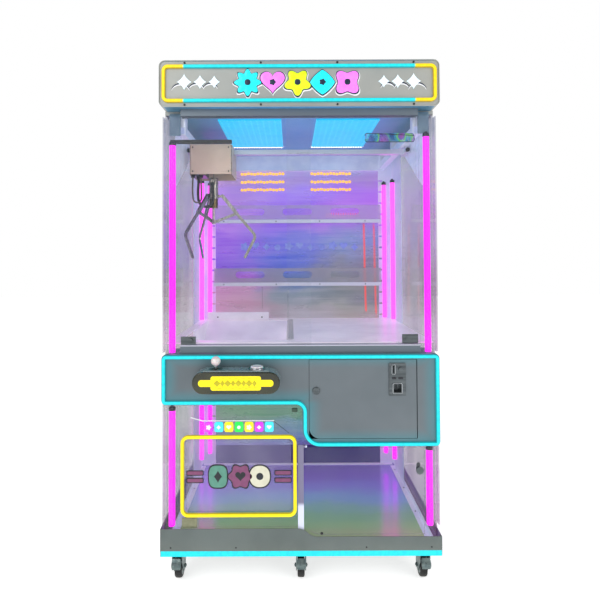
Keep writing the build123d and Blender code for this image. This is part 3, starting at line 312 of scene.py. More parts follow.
# Dust settles low and dulls a colour: share falls from full at low to none at high, broken up by noise.
def dusty(low, high, share, tint):
    def paint(tree, coords, colour):
        height = fade(tree, axisOf(tree, coords, 2), low, high, share, 0.0)
        broken = math2(tree, "MULTIPLY", height, speckle(tree, coords, 35))
        return mixColour(tree, broken, colour, linear(tint))
    return paint


def scuffed(tint, share, sizeMm=9):
    def paint(tree, coords, colour):
        rubbed = fade(tree, speckle(tree, coords, sizeMm, (1, 1, 1), 6.0, 0.7), 0.62, 0.74, 0.0, share)
        return mixColour(tree, rubbed, colour, linear(tint))
    return paint


# Painted light: the neon ring's glow is painted as teal into the paint colour beside it, within 60 mm of the
# control panel's edges.
def haloPaint(tree, coords, colour):
    across, height = axisOf(tree, coords, 0), axisOf(tree, coords, 2)
    sides = fade(tree, math2(tree, "ABSOLUTE", across), 0.44, 0.5)
    upper = fade(tree, height, 0.8, 0.852)
    lower = fade(tree, height, 0.59, 0.53)
    step = math2(tree, "MINIMUM", fade(tree, height, 0.74, 0.685), fade(tree, across, 0.06, 0.0))
    riser = math2(tree, "MULTIPLY", fade(tree, height, 0.7, 0.67), fade(tree, across, 0.09, 0.02))
    halo = math2(tree, "MAXIMUM", math2(tree, "MAXIMUM", sides, upper), math2(tree, "MAXIMUM", lower, step))
    halo = math2(tree, "MAXIMUM", halo, riser)
    return mixColour(tree, math2(tree, "MULTIPLY", halo, 0.5), colour, linear("#2e8f9c"))


# The lining over the window is blue with the lamps' light; the rest of the header is plain silver.
def headerPaint(tree, coords, colour):
    normal = addNode(tree, "ShaderNodeTexCoord").outputs["Normal"]
    under = fade(tree, axisOf(tree, normal, 2), -0.7, -0.9)
    within = fade(tree, math2(tree, "ABSOLUTE", axisOf(tree, coords, 0)), 0.508, 0.504)
    lining = mixColour(tree, fade(tree, math2(tree, "ABSOLUTE", axisOf(tree, coords, 0)), 0.25, 0.48),
                       linear("#5fa8dc"),
                       linear("#5a8aa4"))
    return mixColour(tree, math2(tree, "MULTIPLY", under, within), colour, lining)


# Silver powder coat, sprayed and baked: satin sheen with orange peel and faint cloudy patches.
silverPowderCoat = surface("silverPowderCoat", ("#9b9f9d", "#a6a8a3"), 220, (0.38, 0.52), 60, 1.6, 0.05,
                           paint=headerPaint, fixed={"Metallic": 0.2, "Coat Weight": 0.15,
                                                     "Coat Roughness": 0.3})
# The cooler grey batch on the control panel and its door.
coolPowderCoat = surface("coolPowderCoat", ("#5f696f", "#687177"), 260, (0.36, 0.5), 60, 1.6, 0.05,
                         paint=haloPaint, fixed={"Metallic": 0.2, "Coat Weight": 0.2,
                                                 "Coat Roughness": 0.28})
# Behind the skirt the foil of the wall runs down to the floor; outside, dust greys the paint low down.
def skirtPaint(tree, coords, colour):
    colour = dusty(0.1, 0.2, 0.5, "#8d8f86")(tree, coords, colour)
    across, deep = math2(tree, "ABSOLUTE", axisOf(tree, coords, 0)), axisOf(tree, coords, 1)
    rear = math2(tree, "MULTIPLY", fade(tree, deep, foilFace - 0.004, foilFace - 0.002),
                 fade(tree, deep, foilFace + 0.0012,
                                                                                              foilFace + 0.0006))
    side = math2(tree, "MULTIPLY", fade(tree, across, skirtInside, skirtInside - 0.0005),
                 fade(tree, deep, -0.355, -0.35))
    side = math2(tree, "MULTIPLY", side, fade(tree, deep, foilFace + 0.0012, foilFace + 0.0006))
    colour = mixColour(tree, side, colour, linear("#a99bc4"))
    return mixColour(tree, rear, colour, linear("#5b5394"))


# The same paint on the base, greyer and dusty near the floor.
basePowderCoat = surface("basePowderCoat", ("#5e6866", "#687270"), 220, (0.42, 0.58), 50, 1.6, 0.05,
                         paint=skirtPaint, fixed={"Metallic": 0.2})


# White powder coat on the posts: painted lavender for the tubes' light, a little chalky, with a faint painted
# glow.
def postPaint(tree, coords, colour):
    rubbed = scuffed("#b9bccb", 0.3, 14)(tree, coords, colour)
    centre = math2(tree, "MULTIPLY", fade(tree, math2(tree, "ABSOLUTE", axisOf(tree, coords, 0)), 0.02,
                                          0.015),
                   fade(tree, axisOf(tree, coords, 2), 0.31, 0.29, 1.0, 0.0))
    return mixColour(tree, centre, rubbed, linear("#77738f"))


# Painted light: a faint glow in the surface's own colour, standing in for the tubes' light falling on it.
def paintedPostGlow(tree, coords, colour):
    return colour, fade(tree, speckle(tree, coords, 260), 0.3, 0.7, 0.12, 0.2)


whitePowderCoat = surface("whitePowderCoat", ("#cfd4ee", "#dcdff0"), 120, (0.45, 0.6), 40, 1.4, 0.04,
                          paint=postPaint,
                          glow=paintedPostGlow)


# Rolled aluminium for the door tracks: silver sill, slate paint on its face and on the head track.
def trackPaint(tree, coords, colour):
    height = axisOf(tree, coords, 2)
    head = fade(tree, height, 1.2, 1.3)
    face = fade(tree, height, 0.8835, 0.8845, 1.0, 0.0)
    return mixColour(tree, math2(tree, "MAXIMUM", head, face), colour, linear("#66717b"))


trackAluminium = surface("trackAluminium", ("#b3b5c6", "#c3c4d2"), 80, (0.3, 0.45), 30, 0.8, 0.02,
                         (0.05, 1, 1),
                         paint=trackPaint, fixed={"Metallic": 0.35})
# Extruded aluminium rails: fine die lines along their length, soft metallic, with a faint painted glow for the
# tubes' light.
extrudedAluminium = surface("extrudedAluminium", ("#cdd4ea", "#dee3f2"), 60, (0.28, 0.4), 20, 0.9, 0.02,
                            (1, 0.04, 1),
                            glow=paintedPostGlow, fixed={"Metallic": 0.3})
# The bridge's extrusion, with its die lines across the cabinet.
bridgeAluminium = surface("bridgeAluminium", ("#c9cbd8", "#dfe0ea"), 60, (0.25, 0.38), 20, 0.9, 0.02,
                          (0.04, 1, 1),
                          fixed={"Metallic": 0.6})
# Bright zinc plate on pressed steel: bluish grey with a cloudy spangle.
zincPlate = surface("zincPlate", ("#566567", "#74817f"), 14, (0.25, 0.45), 12, 1.2, 0.03,
                    paint=scuffed("#5d6667", 0.4, 6),
                    fixed={"Metallic": 0.9})
# Turned and polished steel of the claw: bright with fine lathe marks.
polishedSteel = surface("polishedSteel", ("#a2a09c", "#c4c2bd"), 12, (0.16, 0.3), 8, 0.6, 0.01, (1, 1, 0.2),
                        fixed={"Metallic": 1.0})


# Claw body: steel barrel over a lacquered copper winding, seen as brown turns with a pitch of 1.6 mm.
def windingPaint(tree, coords, colour):
    height = axisOf(tree, coords, 2)
    wound = fade(tree, height, 1.4700, 1.4704, 1.0, 0.0)
    turns = addNode(tree, "ShaderNodeTexWave", {"Vector": coords, "Scale": 98.0, "Distortion": 0.4},
                    bands_direction="Z").outputs[0]
    wire = mixColour(tree, turns, linear("#3b3326"), linear("#8a7648"))
    return mixColour(tree, wound, colour, wire)


clawSteel = surface("clawSteel", ("#8f8c84", "#b5b1a4"), 16, (0.2, 0.38), 9, 0.8, 0.02, (1, 1, 0.3),
                    paint=windingPaint,
                    fixed={"Metallic": 0.85})
# Chrome plate on brass and die-castings: mirror with faint wiping haze.
chromePlate = surface("chromePlate", ("#8b8f93", "#a4a8ab"), 20, (0.06, 0.16), 6, 1.0, 0.004,
                      fixed={"Metallic": 1.0})
# Satin stainless of the locks and the coin plate: darker than chrome, brushed level.
satinStainless = surface("satinStainless", ("#4d5356", "#666d70"), 12, (0.28, 0.42), 8, 0.6, 0.01,
                         (0.1, 1, 1),
                         fixed={"Metallic": 0.8})
# Moulded black ABS, fine spark-eroded grain.
blackAbs = surface("blackAbs", ("#141618", "#1f2224"), 18, (0.35, 0.5), 12, 0.9, 0.03, fixed={"IOR": 1.53})
# Moulded warm grey polycarbonate of the trolley's cover, slightly translucent and faintly streaked.
beigePolycarbonate = surface("beigePolycarbonate", ("#c6b19d", "#d2bda9"), 90, (0.38, 0.5), 30, 1.1, 0.02,
                             paint=scuffed("#a8968a", 0.35, 12),
                             fixed={"IOR": 1.58, "Subsurface Weight": 0.08,
                                                                        "Subsurface Scale": 0.004})
# Cast acrylic ball, milky with a rosy pearl.
pearlAcrylic = surface("pearlAcrylic", ("#dcd0d0", "#efe6e6"), 7, (0.08, 0.16), 8, 2.0, 0.01,
                       fixed={"IOR": 1.49, "Coat Weight": 0.6, "Coat Roughness": 0.05,
                              "Subsurface Weight": 0.3,
                              "Subsurface Scale": 0.006})
# Solid polyurethane tyre: dull black, picks up floor dust in the pores of its moulded skin.
tyrePolyurethane = surface("tyrePolyurethane", ("#0e0f0f", "#1d1e1d"), 10, (0.55, 0.8), 8, 1.5, 0.12,
                           paint=dusty(0.0, 0.03, 0.7, "#6d6a62"), fixed={"IOR": 1.5})
# Circuit boxes and the like behind the panels: galvanised sheet.
galvanisedSheet = surface("galvanisedSheet", ("#8d9296", "#a9adb0"), 25, (0.35, 0.5), 15, 1.0, 0.02,
                          fixed={"Metallic": 0.8})


# Clear sheet: thin smudges over the faces and bright cut edges, where the sheet shows its thickness.
def clearAlpha(face, edgeAxes, edge=0.75):
    def alpha(tree, coords):
        smudge = fade(tree, speckle(tree, coords, 130, (1, 1, 0.7), 3.0), 0.3, 0.8, face * 0.8, face * 1.4)
        value = smudge
        for index in edgeAxes:
            value = math2(tree, "MAXIMUM", value, fade(tree, facing(tree, index), 0.6, 0.9, 0.0, edge))
        return value
    return alpha


# Float glass, polished edges: almost colourless, cool tint.
floatGlass = surface("floatGlass", ("#93a4b4", "#a3b2c0"), 300, (0.02, 0.07), 70, 40, 0.01,
                     alpha=clearAlpha(0.035, (0, 2), 0.3),
                     fixed={"IOR": 1.52, "Specular IOR Level": 0.6})
# Clear acrylic windows and corner covers, cast sheet with sawn edges.
# Painted reflection: colour by height, different on the left and right panes, standing in for reflections in
# clear panes.
def sideReflectionPaint(tree, coords, colour):
    height = axisOf(tree, coords, 2)
    left = ramp(tree, height, ((0.2, "#a08a9c"), (0.6, "#a79aae"), (0.9, "#a2929c"), (1.05, "#62566e"),
                               (1.3, "#7668ae"),
                               (1.7, "#8d94b8")))
    right = ramp(tree, height, ((0.2, "#b070b0"), (0.6, "#a890b0"), (0.9, "#a98fb2"), (1.05, "#82608a"),
                                (1.3, "#9668b0"),
                                (1.7, "#8d94b8")))
    return mixColour(tree, fade(tree, axisOf(tree, coords, 0), -0.1, 0.1), left, right)


# Side panes half opaque, so that the painted reflection shows.
def sideReflectionAlpha(tree, coords):
    pane = fade(tree, facing(tree, 0), 0.6, 0.9, 0.05, 0.5)
    return math2(tree, "MULTIPLY", pane, fade(tree, speckle(tree, coords, 200, (1, 1, 0.6), 3.0), 0.2, 0.8,
                                              0.85, 1.15))


# Cast sheet; the side panes carry a painted reflection, lavender and plum by height and side, shown half opaque.
castAcrylic = surface("castAcrylic", ("#a5b2c2", "#b0bcc8"), 260, (0.03, 0.09), 60, 30, 0.01,
                      paint=sideReflectionPaint, alpha=sideReflectionAlpha,
                      fixed={"IOR": 1.49})
# Clear acrylic of the front panes and the guard: barely tinted, edges a little bright.
frontAcrylic = surface("frontAcrylic", ("#9aa2a6", "#a8aeb2"), 260, (0.03, 0.09), 60, 30, 0.01,
                       alpha=clearAlpha(0.05, (0, 2), 0.4), fixed={"IOR": 1.49})
# Frosty lilac acrylic of the flap, which veils what is behind it.
flapAcrylic = surface("flapAcrylic", ("#a9a2c4", "#b4b0c8"), 200, (0.05, 0.12), 50, 30, 0.01,
                      alpha=clearAlpha(0.16, (0, 2), 0.5), fixed={"IOR": 1.49})


# Shelf of folded acrylic: clear plate, rosy lip and a white bar along its front edge.
def shelfAlpha(tree, coords):
    front = axisOf(tree, coords, 1)
    lipLow, lipHigh = shelfPlanes["bar"], shelfPlanes["lip"]
    bar = fade(tree, front, lipLow - 0.0006, lipLow + 0.0004, 0.95, 0.0)
    lip = fade(tree, front, lipHigh - 0.0005, lipHigh + 0.0005, 0.42, 0.2)
    return math2(tree, "MAXIMUM", bar, lip)


def shelfPaint(tree, coords, colour):
    bar = fade(tree, axisOf(tree, coords, 1), shelfPlanes["bar"] - 0.0006, shelfPlanes["bar"] + 0.0004,
               1.0, 0.0)
    rosy = fade(tree, axisOf(tree, coords, 2), 1.2, 1.35)
    tinted = mixColour(tree, rosy, linear("#a99fa6"), linear("#d3b2e2"))
    return mixColour(tree, bar, tinted, linear("#eef0fa"))


shelfBack = boxOf("shelves")[0][1]
shelfPlanes = {"bar": (shelfBack + 5) / 1000, "lip": (shelfBack + 8.2) / 1000}
shelfAcrylic = surface("shelfAcrylic", ("#d6c6e4", "#e2d6ec"), 150, (0.08, 0.2), 40, 20, 0.01,
                       paint=shelfPaint,
                       alpha=shelfAlpha, fixed={"IOR": 1.49})

# Iridescent foil on the back wall: metallised film whose hue drifts with height and across, brushed level; the
# hue bands are partly the film's own colour and partly painted reflection, with painted sheen, painted red
# reflection streaks and a painted glow.
wallReflectionBands = {
    "left": ((0.119, "#5a50a0"), (0.2, "#6a60b0"), (0.27, "#8798a8"), (0.31, "#8fa39a"), (0.38, "#74a57e"),
             (0.6, "#6da58e"),
             (0.889, "#a98f9f"), (0.95, "#b98fa8"), (1.02, "#b487ab"), (1.1, "#a461cb"), (1.19, "#7a57cf"),
             (1.3, "#8a5ad6"),
             (1.46, "#bd8fe6"), (1.56, "#b78fe6"), (1.66, "#c09ac6"), (1.76, "#a8b8d8")),
    "middle": ((0.119, "#524b93"), (0.2, "#5d539e"), (0.27, "#768fb3"), (0.31, "#799eae"),
               (0.38, "#6c9a7e"), (0.6, "#658a8c"),
               (0.889, "#a5a0a8"), (0.95, "#a09aa4"), (1.02, "#7e8a98"), (1.1, "#4a69ad"),
               (1.19, "#4356c6"), (1.3, "#5f62cf"),
               (1.46, "#9a66e6"), (1.56, "#a97ff0"), (1.66, "#b38fd2"), (1.76, "#a4b6da")),
    "right": ((0.119, "#4f4790"), (0.2, "#5c4f9a"), (0.27, "#6d6aa6"), (0.31, "#7f8aa0"),
              (0.38, "#7f9a86"), (0.6, "#6f8a86"),
              (0.889, "#9a948e"), (0.95, "#93958e"), (1.02, "#737b7f"), (1.1, "#7c8280"),
              (1.19, "#77798e"), (1.3, "#7486c0"),
              (1.46, "#b970e6"), (1.56, "#b272e8"), (1.66, "#ad86ce"), (1.76, "#a2b2d4"))}


def foilReflectionPaint(tree, coords, colour):
    wander = fade(tree, speckle(tree, coords, 320, (1, 1, 2.2), 3.0), 0.3, 0.7, -0.035, 0.035)
    height = math2(tree, "ADD", axisOf(tree, coords, 2), wander)
    across = math2(tree, "ADD", axisOf(tree, coords, 0), math2(tree, "MULTIPLY", wander, 2.5))
    leftSide = mixColour(tree, fade(tree, across, -0.32, -0.08), ramp(tree, height, wallReflectionBands["left"]),
                         ramp(tree, height, wallReflectionBands["middle"]))
    hue = mixColour(tree, fade(tree, across, -0.02, 0.26), leftSide, ramp(tree, height, wallReflectionBands["right"]))
    # Painted sheen: paler streaks along the brushing.
    brushedSheen = fade(tree, speckle(tree, coords, 14, (0.05, 1, 1), 4.0), 0.3, 0.7, 0.0, 0.1)
    hue = mixColour(tree, brushedSheen, hue, linear("#f3e6f4"))
    # Painted reflections: two red streaks of reflected red light on the foil.
    for place, share in ((0.366, 0.75), (0.42, 0.6)):
        sway = math2(tree, "ADD", axisOf(tree, coords, 0), math2(tree, "MULTIPLY", height, 0.02))
        near = math2(tree, "ABSOLUTE", math2(tree, "SUBTRACT", sway, place + 0.022))
        tall = math2(tree, "MULTIPLY", fade(tree, height, 0.9, 0.94), fade(tree, height, 1.4, 1.36))
        redStreakReflection = math2(tree, "MULTIPLY", fade(tree, near, 0.008, 0.003), tall)
        hue = mixColour(tree, math2(tree, "MULTIPLY", redStreakReflection, share), hue, linear("#ff5a4a"))
    inside = fade(tree, axisOf(tree, coords, 1), foilFace + 0.0006, foilFace + 0.0012, 1.0, 0.0)
    return mixColour(tree, inside, colour, hue)


# Painted light: the foil's face glows faintly in its own colour.
def foilPaintedGlow(tree, coords, colour):
    inside = fade(tree, axisOf(tree, coords, 1), foilFace + 0.0006, foilFace + 0.0012, 1.0, 0.0)
    return colour, math2(tree, "MULTIPLY", inside, 0.42)


iridescentFoil = surface("iridescentFoil", ("#aeb2b4", "#b8bbbc"), 200, (0.26, 0.32), 60, 5, 0.008,
                         (0.3, 1, 1),
                         paint=foilReflectionPaint, glow=foilPaintedGlow, fixed={"Metallic": 0.6})

# The same foil laid on the cabinet floor: a painted reflection of the wall's colours in bands from back to
# front, with a faint painted glow.
floorReflectionBands = ((-0.36, "#a7a3a0"), (-0.2, "#94a080"), (-0.15, "#86a57f"), (-0.09, "#77a088"),
              (-0.02, "#779fa0"), (0.07, "#7796c4"),
              (0.2, "#7f77c6"), (0.3, "#7f66c0"), (0.45, "#7660b0"))


def floorReflectionPaint(tree, coords, colour):
    wander = fade(tree, speckle(tree, coords, 260, (1.4, 1, 1), 3.0), 0.3, 0.7, -0.02, 0.02)
    hue = ramp(tree, math2(tree, "ADD", axisOf(tree, coords, 1), wander), floorReflectionBands)
    top = fade(tree, axisOf(tree, coords, 2), floorFace - 0.0008, floorFace - 0.0003)
    return mixColour(tree, top, colour, hue)


# Painted light: the floor's top face glows faintly in its own colour.
def floorPaintedGlow(tree, coords, colour):
    top = fade(tree, axisOf(tree, coords, 2), floorFace - 0.0008, floorFace - 0.0003)
    return colour, math2(tree, "MULTIPLY", top, 0.4)


floorFace = boxOf("base_plate")[1][2] / 1000
floorFoil = surface("floorFoil", ("#6f7674", "#7b817f"), 120, (0.12, 0.24), 60, 6, 0.03, paint=floorReflectionPaint,
                    glow=floorPaintedGlow,
                    fixed={"Metallic": 0.6})
# Pearl laminate on the playfield and the prize ramp: lilac white, glossy, with a painted glow standing in for
# the tubes' light on it.
pearlLaminate = surface("pearlLaminate", ("#dcd4e0", "#e6e0ea"), 160, (0.3, 0.45), 70, 40, 0.005,
                        glow=lambda tree, coords, colour: (colour,
                                                           fade(tree, speckle(tree, coords, 120), 0.3, 0.7,
                                                                0.26, 0.34)),
                        fixed={"Coat Weight": 0.2, "Coat Roughness": 0.2})


# Silicone neon: an even skin that glows by itself, a touch brighter where the diodes sit 12 mm apart.
def neonGlow(strength, plain, other=None, mask=None, crown=False):
    def glow(tree, coords, colour):
        tint = linear(plain)
        if other:
            tint = mixColour(tree, mask(tree, coords), linear(plain), linear(other))
        pulse = fade(tree, speckle(tree, coords, 12, (1, 1, 1), 1.0), 0.3, 0.7, strength * 0.92,
                     strength * 1.08)
        if crown:
            pulse = math2(tree, "MULTIPLY", pulse, fade(tree, facing(tree, 1), 0.55, 0.995, 0.3, 1.0))
        return tint, pulse
    return glow


def headerEnds(tree, coords):
    across = math2(tree, "ABSOLUTE", axisOf(tree, coords, 0))
    return math2(tree, "MULTIPLY", fade(tree, across, 0.428, 0.436),
                 fade(tree, axisOf(tree, coords, 2), 1.7, 1.75))


def rearTubes(tree, coords):
    return math2(tree, "MULTIPLY", fade(tree, axisOf(tree, coords, 1), 0.0, 0.1),
                 fade(tree, axisOf(tree, coords, 2), 0.85, 0.9))


def neonPaint(tree, coords, colour):
    return mixColour(tree, headerEnds(tree, coords), colour, linear("#8a7206"))


cyanNeon = surface("cyanNeon", ("#0b6f78", "#0f7c84"), 30, (0.3, 0.45), 20, 2.0, 0.02, paint=neonPaint,
                   glow=neonGlow(1.0, "#10dfe8", "#ffdf08", headerEnds, True), fixed={"IOR": 1.43})
yellowNeon = surface("yellowNeon", ("#9a8a08", "#a8960c"), 30, (0.3, 0.45), 20, 2.0, 0.02,
                     glow=neonGlow(0.9, "#ffee14", crown=True), fixed={"IOR": 1.43})
magentaTube = surface("magentaTube", ("#6a0868", "#780c74"), 40, (0.3, 0.4), 20, 3.0, 0.02,
                      glow=neonGlow(1.5, "#ff14ee", "#ff50ee", rearTubes), fixed={"IOR": 1.49})


# Ceiling lamp: opal diffuser lit cyan, with a grid of diodes 24 mm apart showing through.
def lampGlow(tree, coords, colour):
    dots = addNode(tree, "ShaderNodeTexVoronoi", {"Vector": coords, "Scale": 42.0, "Randomness": 0.0},
                   voronoi_dimensions="3D", feature="F1").outputs["Distance"]
    spot = fade(tree, dots, 0.16, 0.34, 1.0, 0.0)
    return mixColour(tree, spot, linear("#00c4f2"), linear("#7defff")), fade(tree, spot, 0.0, 1.0, 0.8, 1.3)


opalLamp = surface("opalLamp", ("#0a7fa0", "#0e8cae"), 60, (0.4, 0.5), 20, 2.0, 0.02, glow=lampGlow,
                   fixed={"IOR": 1.49})
# Bare white diodes, brighter than the lamps.
whiteDiode = surface("whiteDiode", ("#f2f6ff", "#ffffff"), 4, (0.2, 0.3), 5, 1.0, 0.01,
                     glow=neonGlow(3.0, "#eef4ff"))


# Console: silver top, gloss black front round the lamp, with painted lamp light: the black front shades to olive
# in random patches.
def consolePaint(tree, coords, colour):
    front = fade(tree, axisOf(tree, coords, 1), consoleFront + 0.005, consoleFront + 0.0075, 1.0, 0.0)
    paintedLampSpill = fade(tree, speckle(tree, coords, 60), 0.3, 0.7)
    return mixColour(tree, front, colour, mixColour(tree, paintedLampSpill, linear("#23261a"), linear("#33351f")))


consoleFront = boxOf("console_body")[0][1] / 1000
consolePaintwork = surface("consolePaintwork", ("#7e9397", "#8b9c9f"), 90, (0.2, 0.34), 40, 1.6, 0.03,
                           paint=consolePaint,
                           fixed={"Metallic": 0.25, "Coat Weight": 0.4, "Coat Roughness": 0.12})
# Coloured acrylic letters and tiles: laser-cut sheet with polished faces.
titleWhite = surface("titleWhite", ("#eef0f4", "#f7f8fa"), 30, (0.2, 0.3), 20, 1.5, 0.01,
                     fixed={"IOR": 1.49})
# Dark blue acrylic backing, satin, so the colours stand off it.
titleNavy = surface("titleNavy", ("#12243a", "#1a2f48"), 30, (0.25, 0.35), 20, 1.5, 0.01,
                    fixed={"IOR": 1.49})


def litAcrylic(name, first, second, glow, strength):
    return surface(name, (first, second), 25, (0.18, 0.3), 15, 1.5, 0.01, glow=neonGlow(strength, glow),
                   fixed={"IOR": 1.49})


# Edge-lit shapes and sign tiles in plain bright colours that glow a little.
titleCyan = litAcrylic("titleCyan", "#16dbe8", "#22e4ee", "#14dce8", 0.35)
titlePink = litAcrylic("titlePink", "#ee74ee", "#f684f4", "#f070ee", 0.35)
titleLime = litAcrylic("titleLime", "#cdf014", "#d8f628", "#ccf010", 0.35)
starPale = litAcrylic("starPale", "#d8edf6", "#e6f4fa", "#dceefa", 0.25)
tilePurple = litAcrylic("tilePurple", "#b02ad2", "#c63ce0", "#b838e0", 0.7)
tileCyan = litAcrylic("tileCyan", "#34c8ee", "#50d8f6", "#3ccdf4", 0.7)
tileAmber = litAcrylic("tileAmber", "#e8d820", "#f4c020", "#f0d020", 0.7)
tileGreen = litAcrylic("tileGreen", "#18c840", "#28d850", "#1cd048", 0.7)
# Printed vinyl on the flap: flat inks with a faint film texture.
inkTeal = surface("inkTeal", ("#55907e", "#5f9a88"), 20, (0.35, 0.45), 15, 1.0, 0.01)
inkPlum = surface("inkPlum", ("#7c3f68", "#884a72"), 20, (0.35, 0.45), 15, 1.0, 0.01)
inkCream = surface("inkCream", ("#d6d4bc", "#e0dec8"), 20, (0.35, 0.45), 15, 1.0, 0.01)
inkBlack = surface("inkBlack", ("#171a22", "#20242c"), 20, (0.35, 0.5), 15, 1.0, 0.01)
# Pale blue acrylic shapes on the foil, with a faint painted glow.
wallBlue = surface("wallBlue", ("#6f7cd0", "#8796e0"), 30, (0.25, 0.4), 20, 2.0, 0.01,
                   glow=neonGlow(0.25, "#8f9cf0"),
                   fixed={"IOR": 1.49})
# Olive print over the console's lamp, dimmer than the lamp behind it.
lampMotifOlive = surface("lampMotifOlive", ("#a39a08", "#b3aa10"), 15, (0.3, 0.4), 10, 1.5, 0.01,
                         glow=neonGlow(0.5, "#a89e06"))
# Spiral wrap of black polyethylene round the claw's lead: waxy, dark, with worn ridges.
spiralWrap = surface("spiralWrap", ("#1b1714", "#2b2520"), 8, (0.38, 0.55), 6, 1.0, 0.03,
                     paint=scuffed("#55493f", 0.5, 4))
# PVC insulated wires, twisted together: brown with a waxy shine.
twistedPvc = surface("twistedPvc", ("#4a3f36", "#6b5c4e"), 6, (0.35, 0.5), 6, 0.8, 0.02,
                     paint=scuffed("#8d8177", 0.4, 5))
# Galvanised wire rope: grey strands, greasy in the grooves.
wireRope = surface("wireRope", ("#6f7376", "#a5a9ab"), 2, (0.3, 0.5), 4, 0.6, 0.03, fixed={"Metallic": 0.9})
# Dark green moulded nylon clip, dull.
greenNylon = surface("greenNylon", ("#2c4636", "#385342"), 12, (0.4, 0.55), 10, 1.0, 0.02)
# Olive-painted steel clip, a soft satin.
oliveSteel = surface("oliveSteel", ("#7d7f63", "#8c8e72"), 14, (0.35, 0.5), 10, 1.0, 0.02,
                     fixed={"Metallic": 0.3})


# Printed clear decal with soft coloured blots in a row.
def decalPaint(tree, coords, colour):
    blots = fade(tree, speckle(tree, coords, 42, (1, 1, 0.6), 1.0), 0.25, 0.75)
    return ramp(tree, blots, ((0.0, "#2b4f8f"), (0.35, "#3f8fae"), (0.5, "#6fc25f"), (0.65, "#6a5fae"),
                              (1.0, "#a04fa6")))


vinylDecal = surface("vinylDecal", ("#4f7fa0", "#5f8fb0"), 30, (0.15, 0.3), 20, 2.0, 0.01, paint=decalPaint,
                     alpha=lambda tree, coords: fade(tree, speckle(tree, coords, 30, (1, 1, 0.7)), 0.35,
                                                     0.7, 0.25, 0.75))
print("materials ready:", len(bpy.data.materials))

# Cords: their routes are the ones of the CAD tubes.
clawCableRoute = {"points": [(-428, -101, 1563), (-428, -101, 1536), (-430, -102, 1507), (-430, -102, 1479),
                             (-427, -102, 1453), (-409, -101, 1435), (-384, -100, 1434),
                             (-366.5, -100, 1452),
                             (-365, -99, 1481), (-368, -99, 1508), (-368, -99, 1537)],
                  "radius": 6.0, "wrapPitch": 11.0, "ridge": 1.1}
wireLoopRoute = {"points": [(-447, -129, 1563), (-447, -129, 1538), (-449, -130, 1514), (-448, -130, 1492),
                            (-446.5, -130, 1473), (-445.5, -129, 1459), (-435, -128, 1449),
                            (-421, -127, 1450),
                            (-412, -126, 1461), (-411, -125, 1476), (-411.5, -125, 1496),
                            (-412.5, -125, 1517),
                            (-413, -126, 1540), (-413, -126, 1563)],
                 "radius": 3.5, "twistPitch": 30.0, "wires": 3}


# Points of the route's smooth spline, in millimetres, as Blender evaluates it.
def splineLine(name, points):
    curve = bpy.data.curves.new(name + "Route", "CURVE")
    curve.dimensions = "3D"
    curve.resolution_u = 10
    spline = curve.splines.new("NURBS")
    spline.points.add(len(points) - 1)
    spline.points.foreach_set("co", np.hstack([np.array(points) / 1000, np.ones((len(points), 1))]).ravel())
    spline.order_u = 3
    spline.use_endpoint_u = True
    holder = bpy.data.objects.new(name + "Route", curve)
    scene.collection.objects.link(holder)
    bpy.context.view_layer.update()
    mesh = bpy.data.meshes.new_from_object(holder.evaluated_get(bpy.context.evaluated_depsgraph_get()))
    line = np.zeros(len(mesh.vertices) * 3)
    mesh.vertices.foreach_get("co", line)
    bpy.data.objects.remove(holder)
    bpy.data.curves.remove(curve)
    bpy.data.meshes.remove(mesh)
    return line.reshape(-1, 3) * 1000


def lengthsAlong(line):
    return np.concatenate([[0], np.cumsum(np.linalg.norm(np.diff(line, axis=0), axis=1))])


# The line cut again at even steps, by length along it.
def evenSteps(line, step):
    along = lengthsAlong(line)
    marks = np.linspace(0, along[-1], max(2, int(along[-1] / step) + 1))
    return np.stack([np.interp(marks, along, line[:, k]) for k in range(3)], 1), marks


cableLine = splineLine("clawCable", clawCableRoute["points"])
cableSteps, cableMarks = evenSteps(cableLine, 1.5)
around = np.linspace(0, 2 * math.pi, 14, endpoint=False)
# Spiral wrap: the radius rises by a rounded ridge that winds once a pitch.
wrap = np.abs(np.sin(around[None] / 2 - math.pi * cableMarks[:, None] / clawCableRoute["wrapPitch"])) ** 0.7
wrapRadius = clawCableRoute["radius"] - clawCableRoute["ridge"] * (1 - wrap)
cableSection = np.stack([np.cos(around) * wrapRadius, np.sin(around) * wrapRadius], -1)
clawCable = makePiece("clawCableWrap", [carried(cableSection, cableSteps, (0, 1, 0))], spiralWrap, None,
                      60, ["claw_cable"])
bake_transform(clawCable)

wireLine = splineLine("wireLoop", wireLoopRoute["points"])
wireSteps, wireMarks = evenSteps(wireLine, 1.5)
# Twisted wires: a lobed section that turns once a pitch.
lobes = np.abs(np.cos(wireLoopRoute["wires"] / 2 * (around[None] - 2 * math.pi * wireMarks[:,
        None] / wireLoopRoute["twistPitch"])))
wireRadius = wireLoopRoute["radius"] * (0.72 + 0.28 * lobes)
wireSection = np.stack([np.cos(around) * wireRadius, np.sin(around) * wireRadius], -1)
wireLoop = makePiece("twistedWireLoop", [carried(wireSection, wireSteps, (0, 1, 0))], twistedPvc, "trolley",
                     70, ["wire_loop"])

ropeLow, ropeHigh = boxOf("claw_rope")
ropeAxis = (ropeLow + ropeHigh) / 2
ropeMarks = np.linspace(ropeLow[2], ropeHigh[2], 40)
ropePath = np.stack([np.full(40, ropeAxis[0]), np.full(40, ropeAxis[1]), ropeMarks], 1)
ropeRadius = 1.5 * (0.78 + 0.22 * np.abs(np.cos(3 * (around[None] - 2 * math.pi * ropeMarks[:,
        None] / 12))))
ropeSection = np.stack([np.cos(around) * ropeRadius, np.sin(around) * ropeRadius], -1)
hoistRope = makePiece("hoistRope", [carried(ropeSection, ropePath, (0, 1, 0))], wireRope, None,
                      70, ["claw_rope"])
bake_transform(hoistRope)

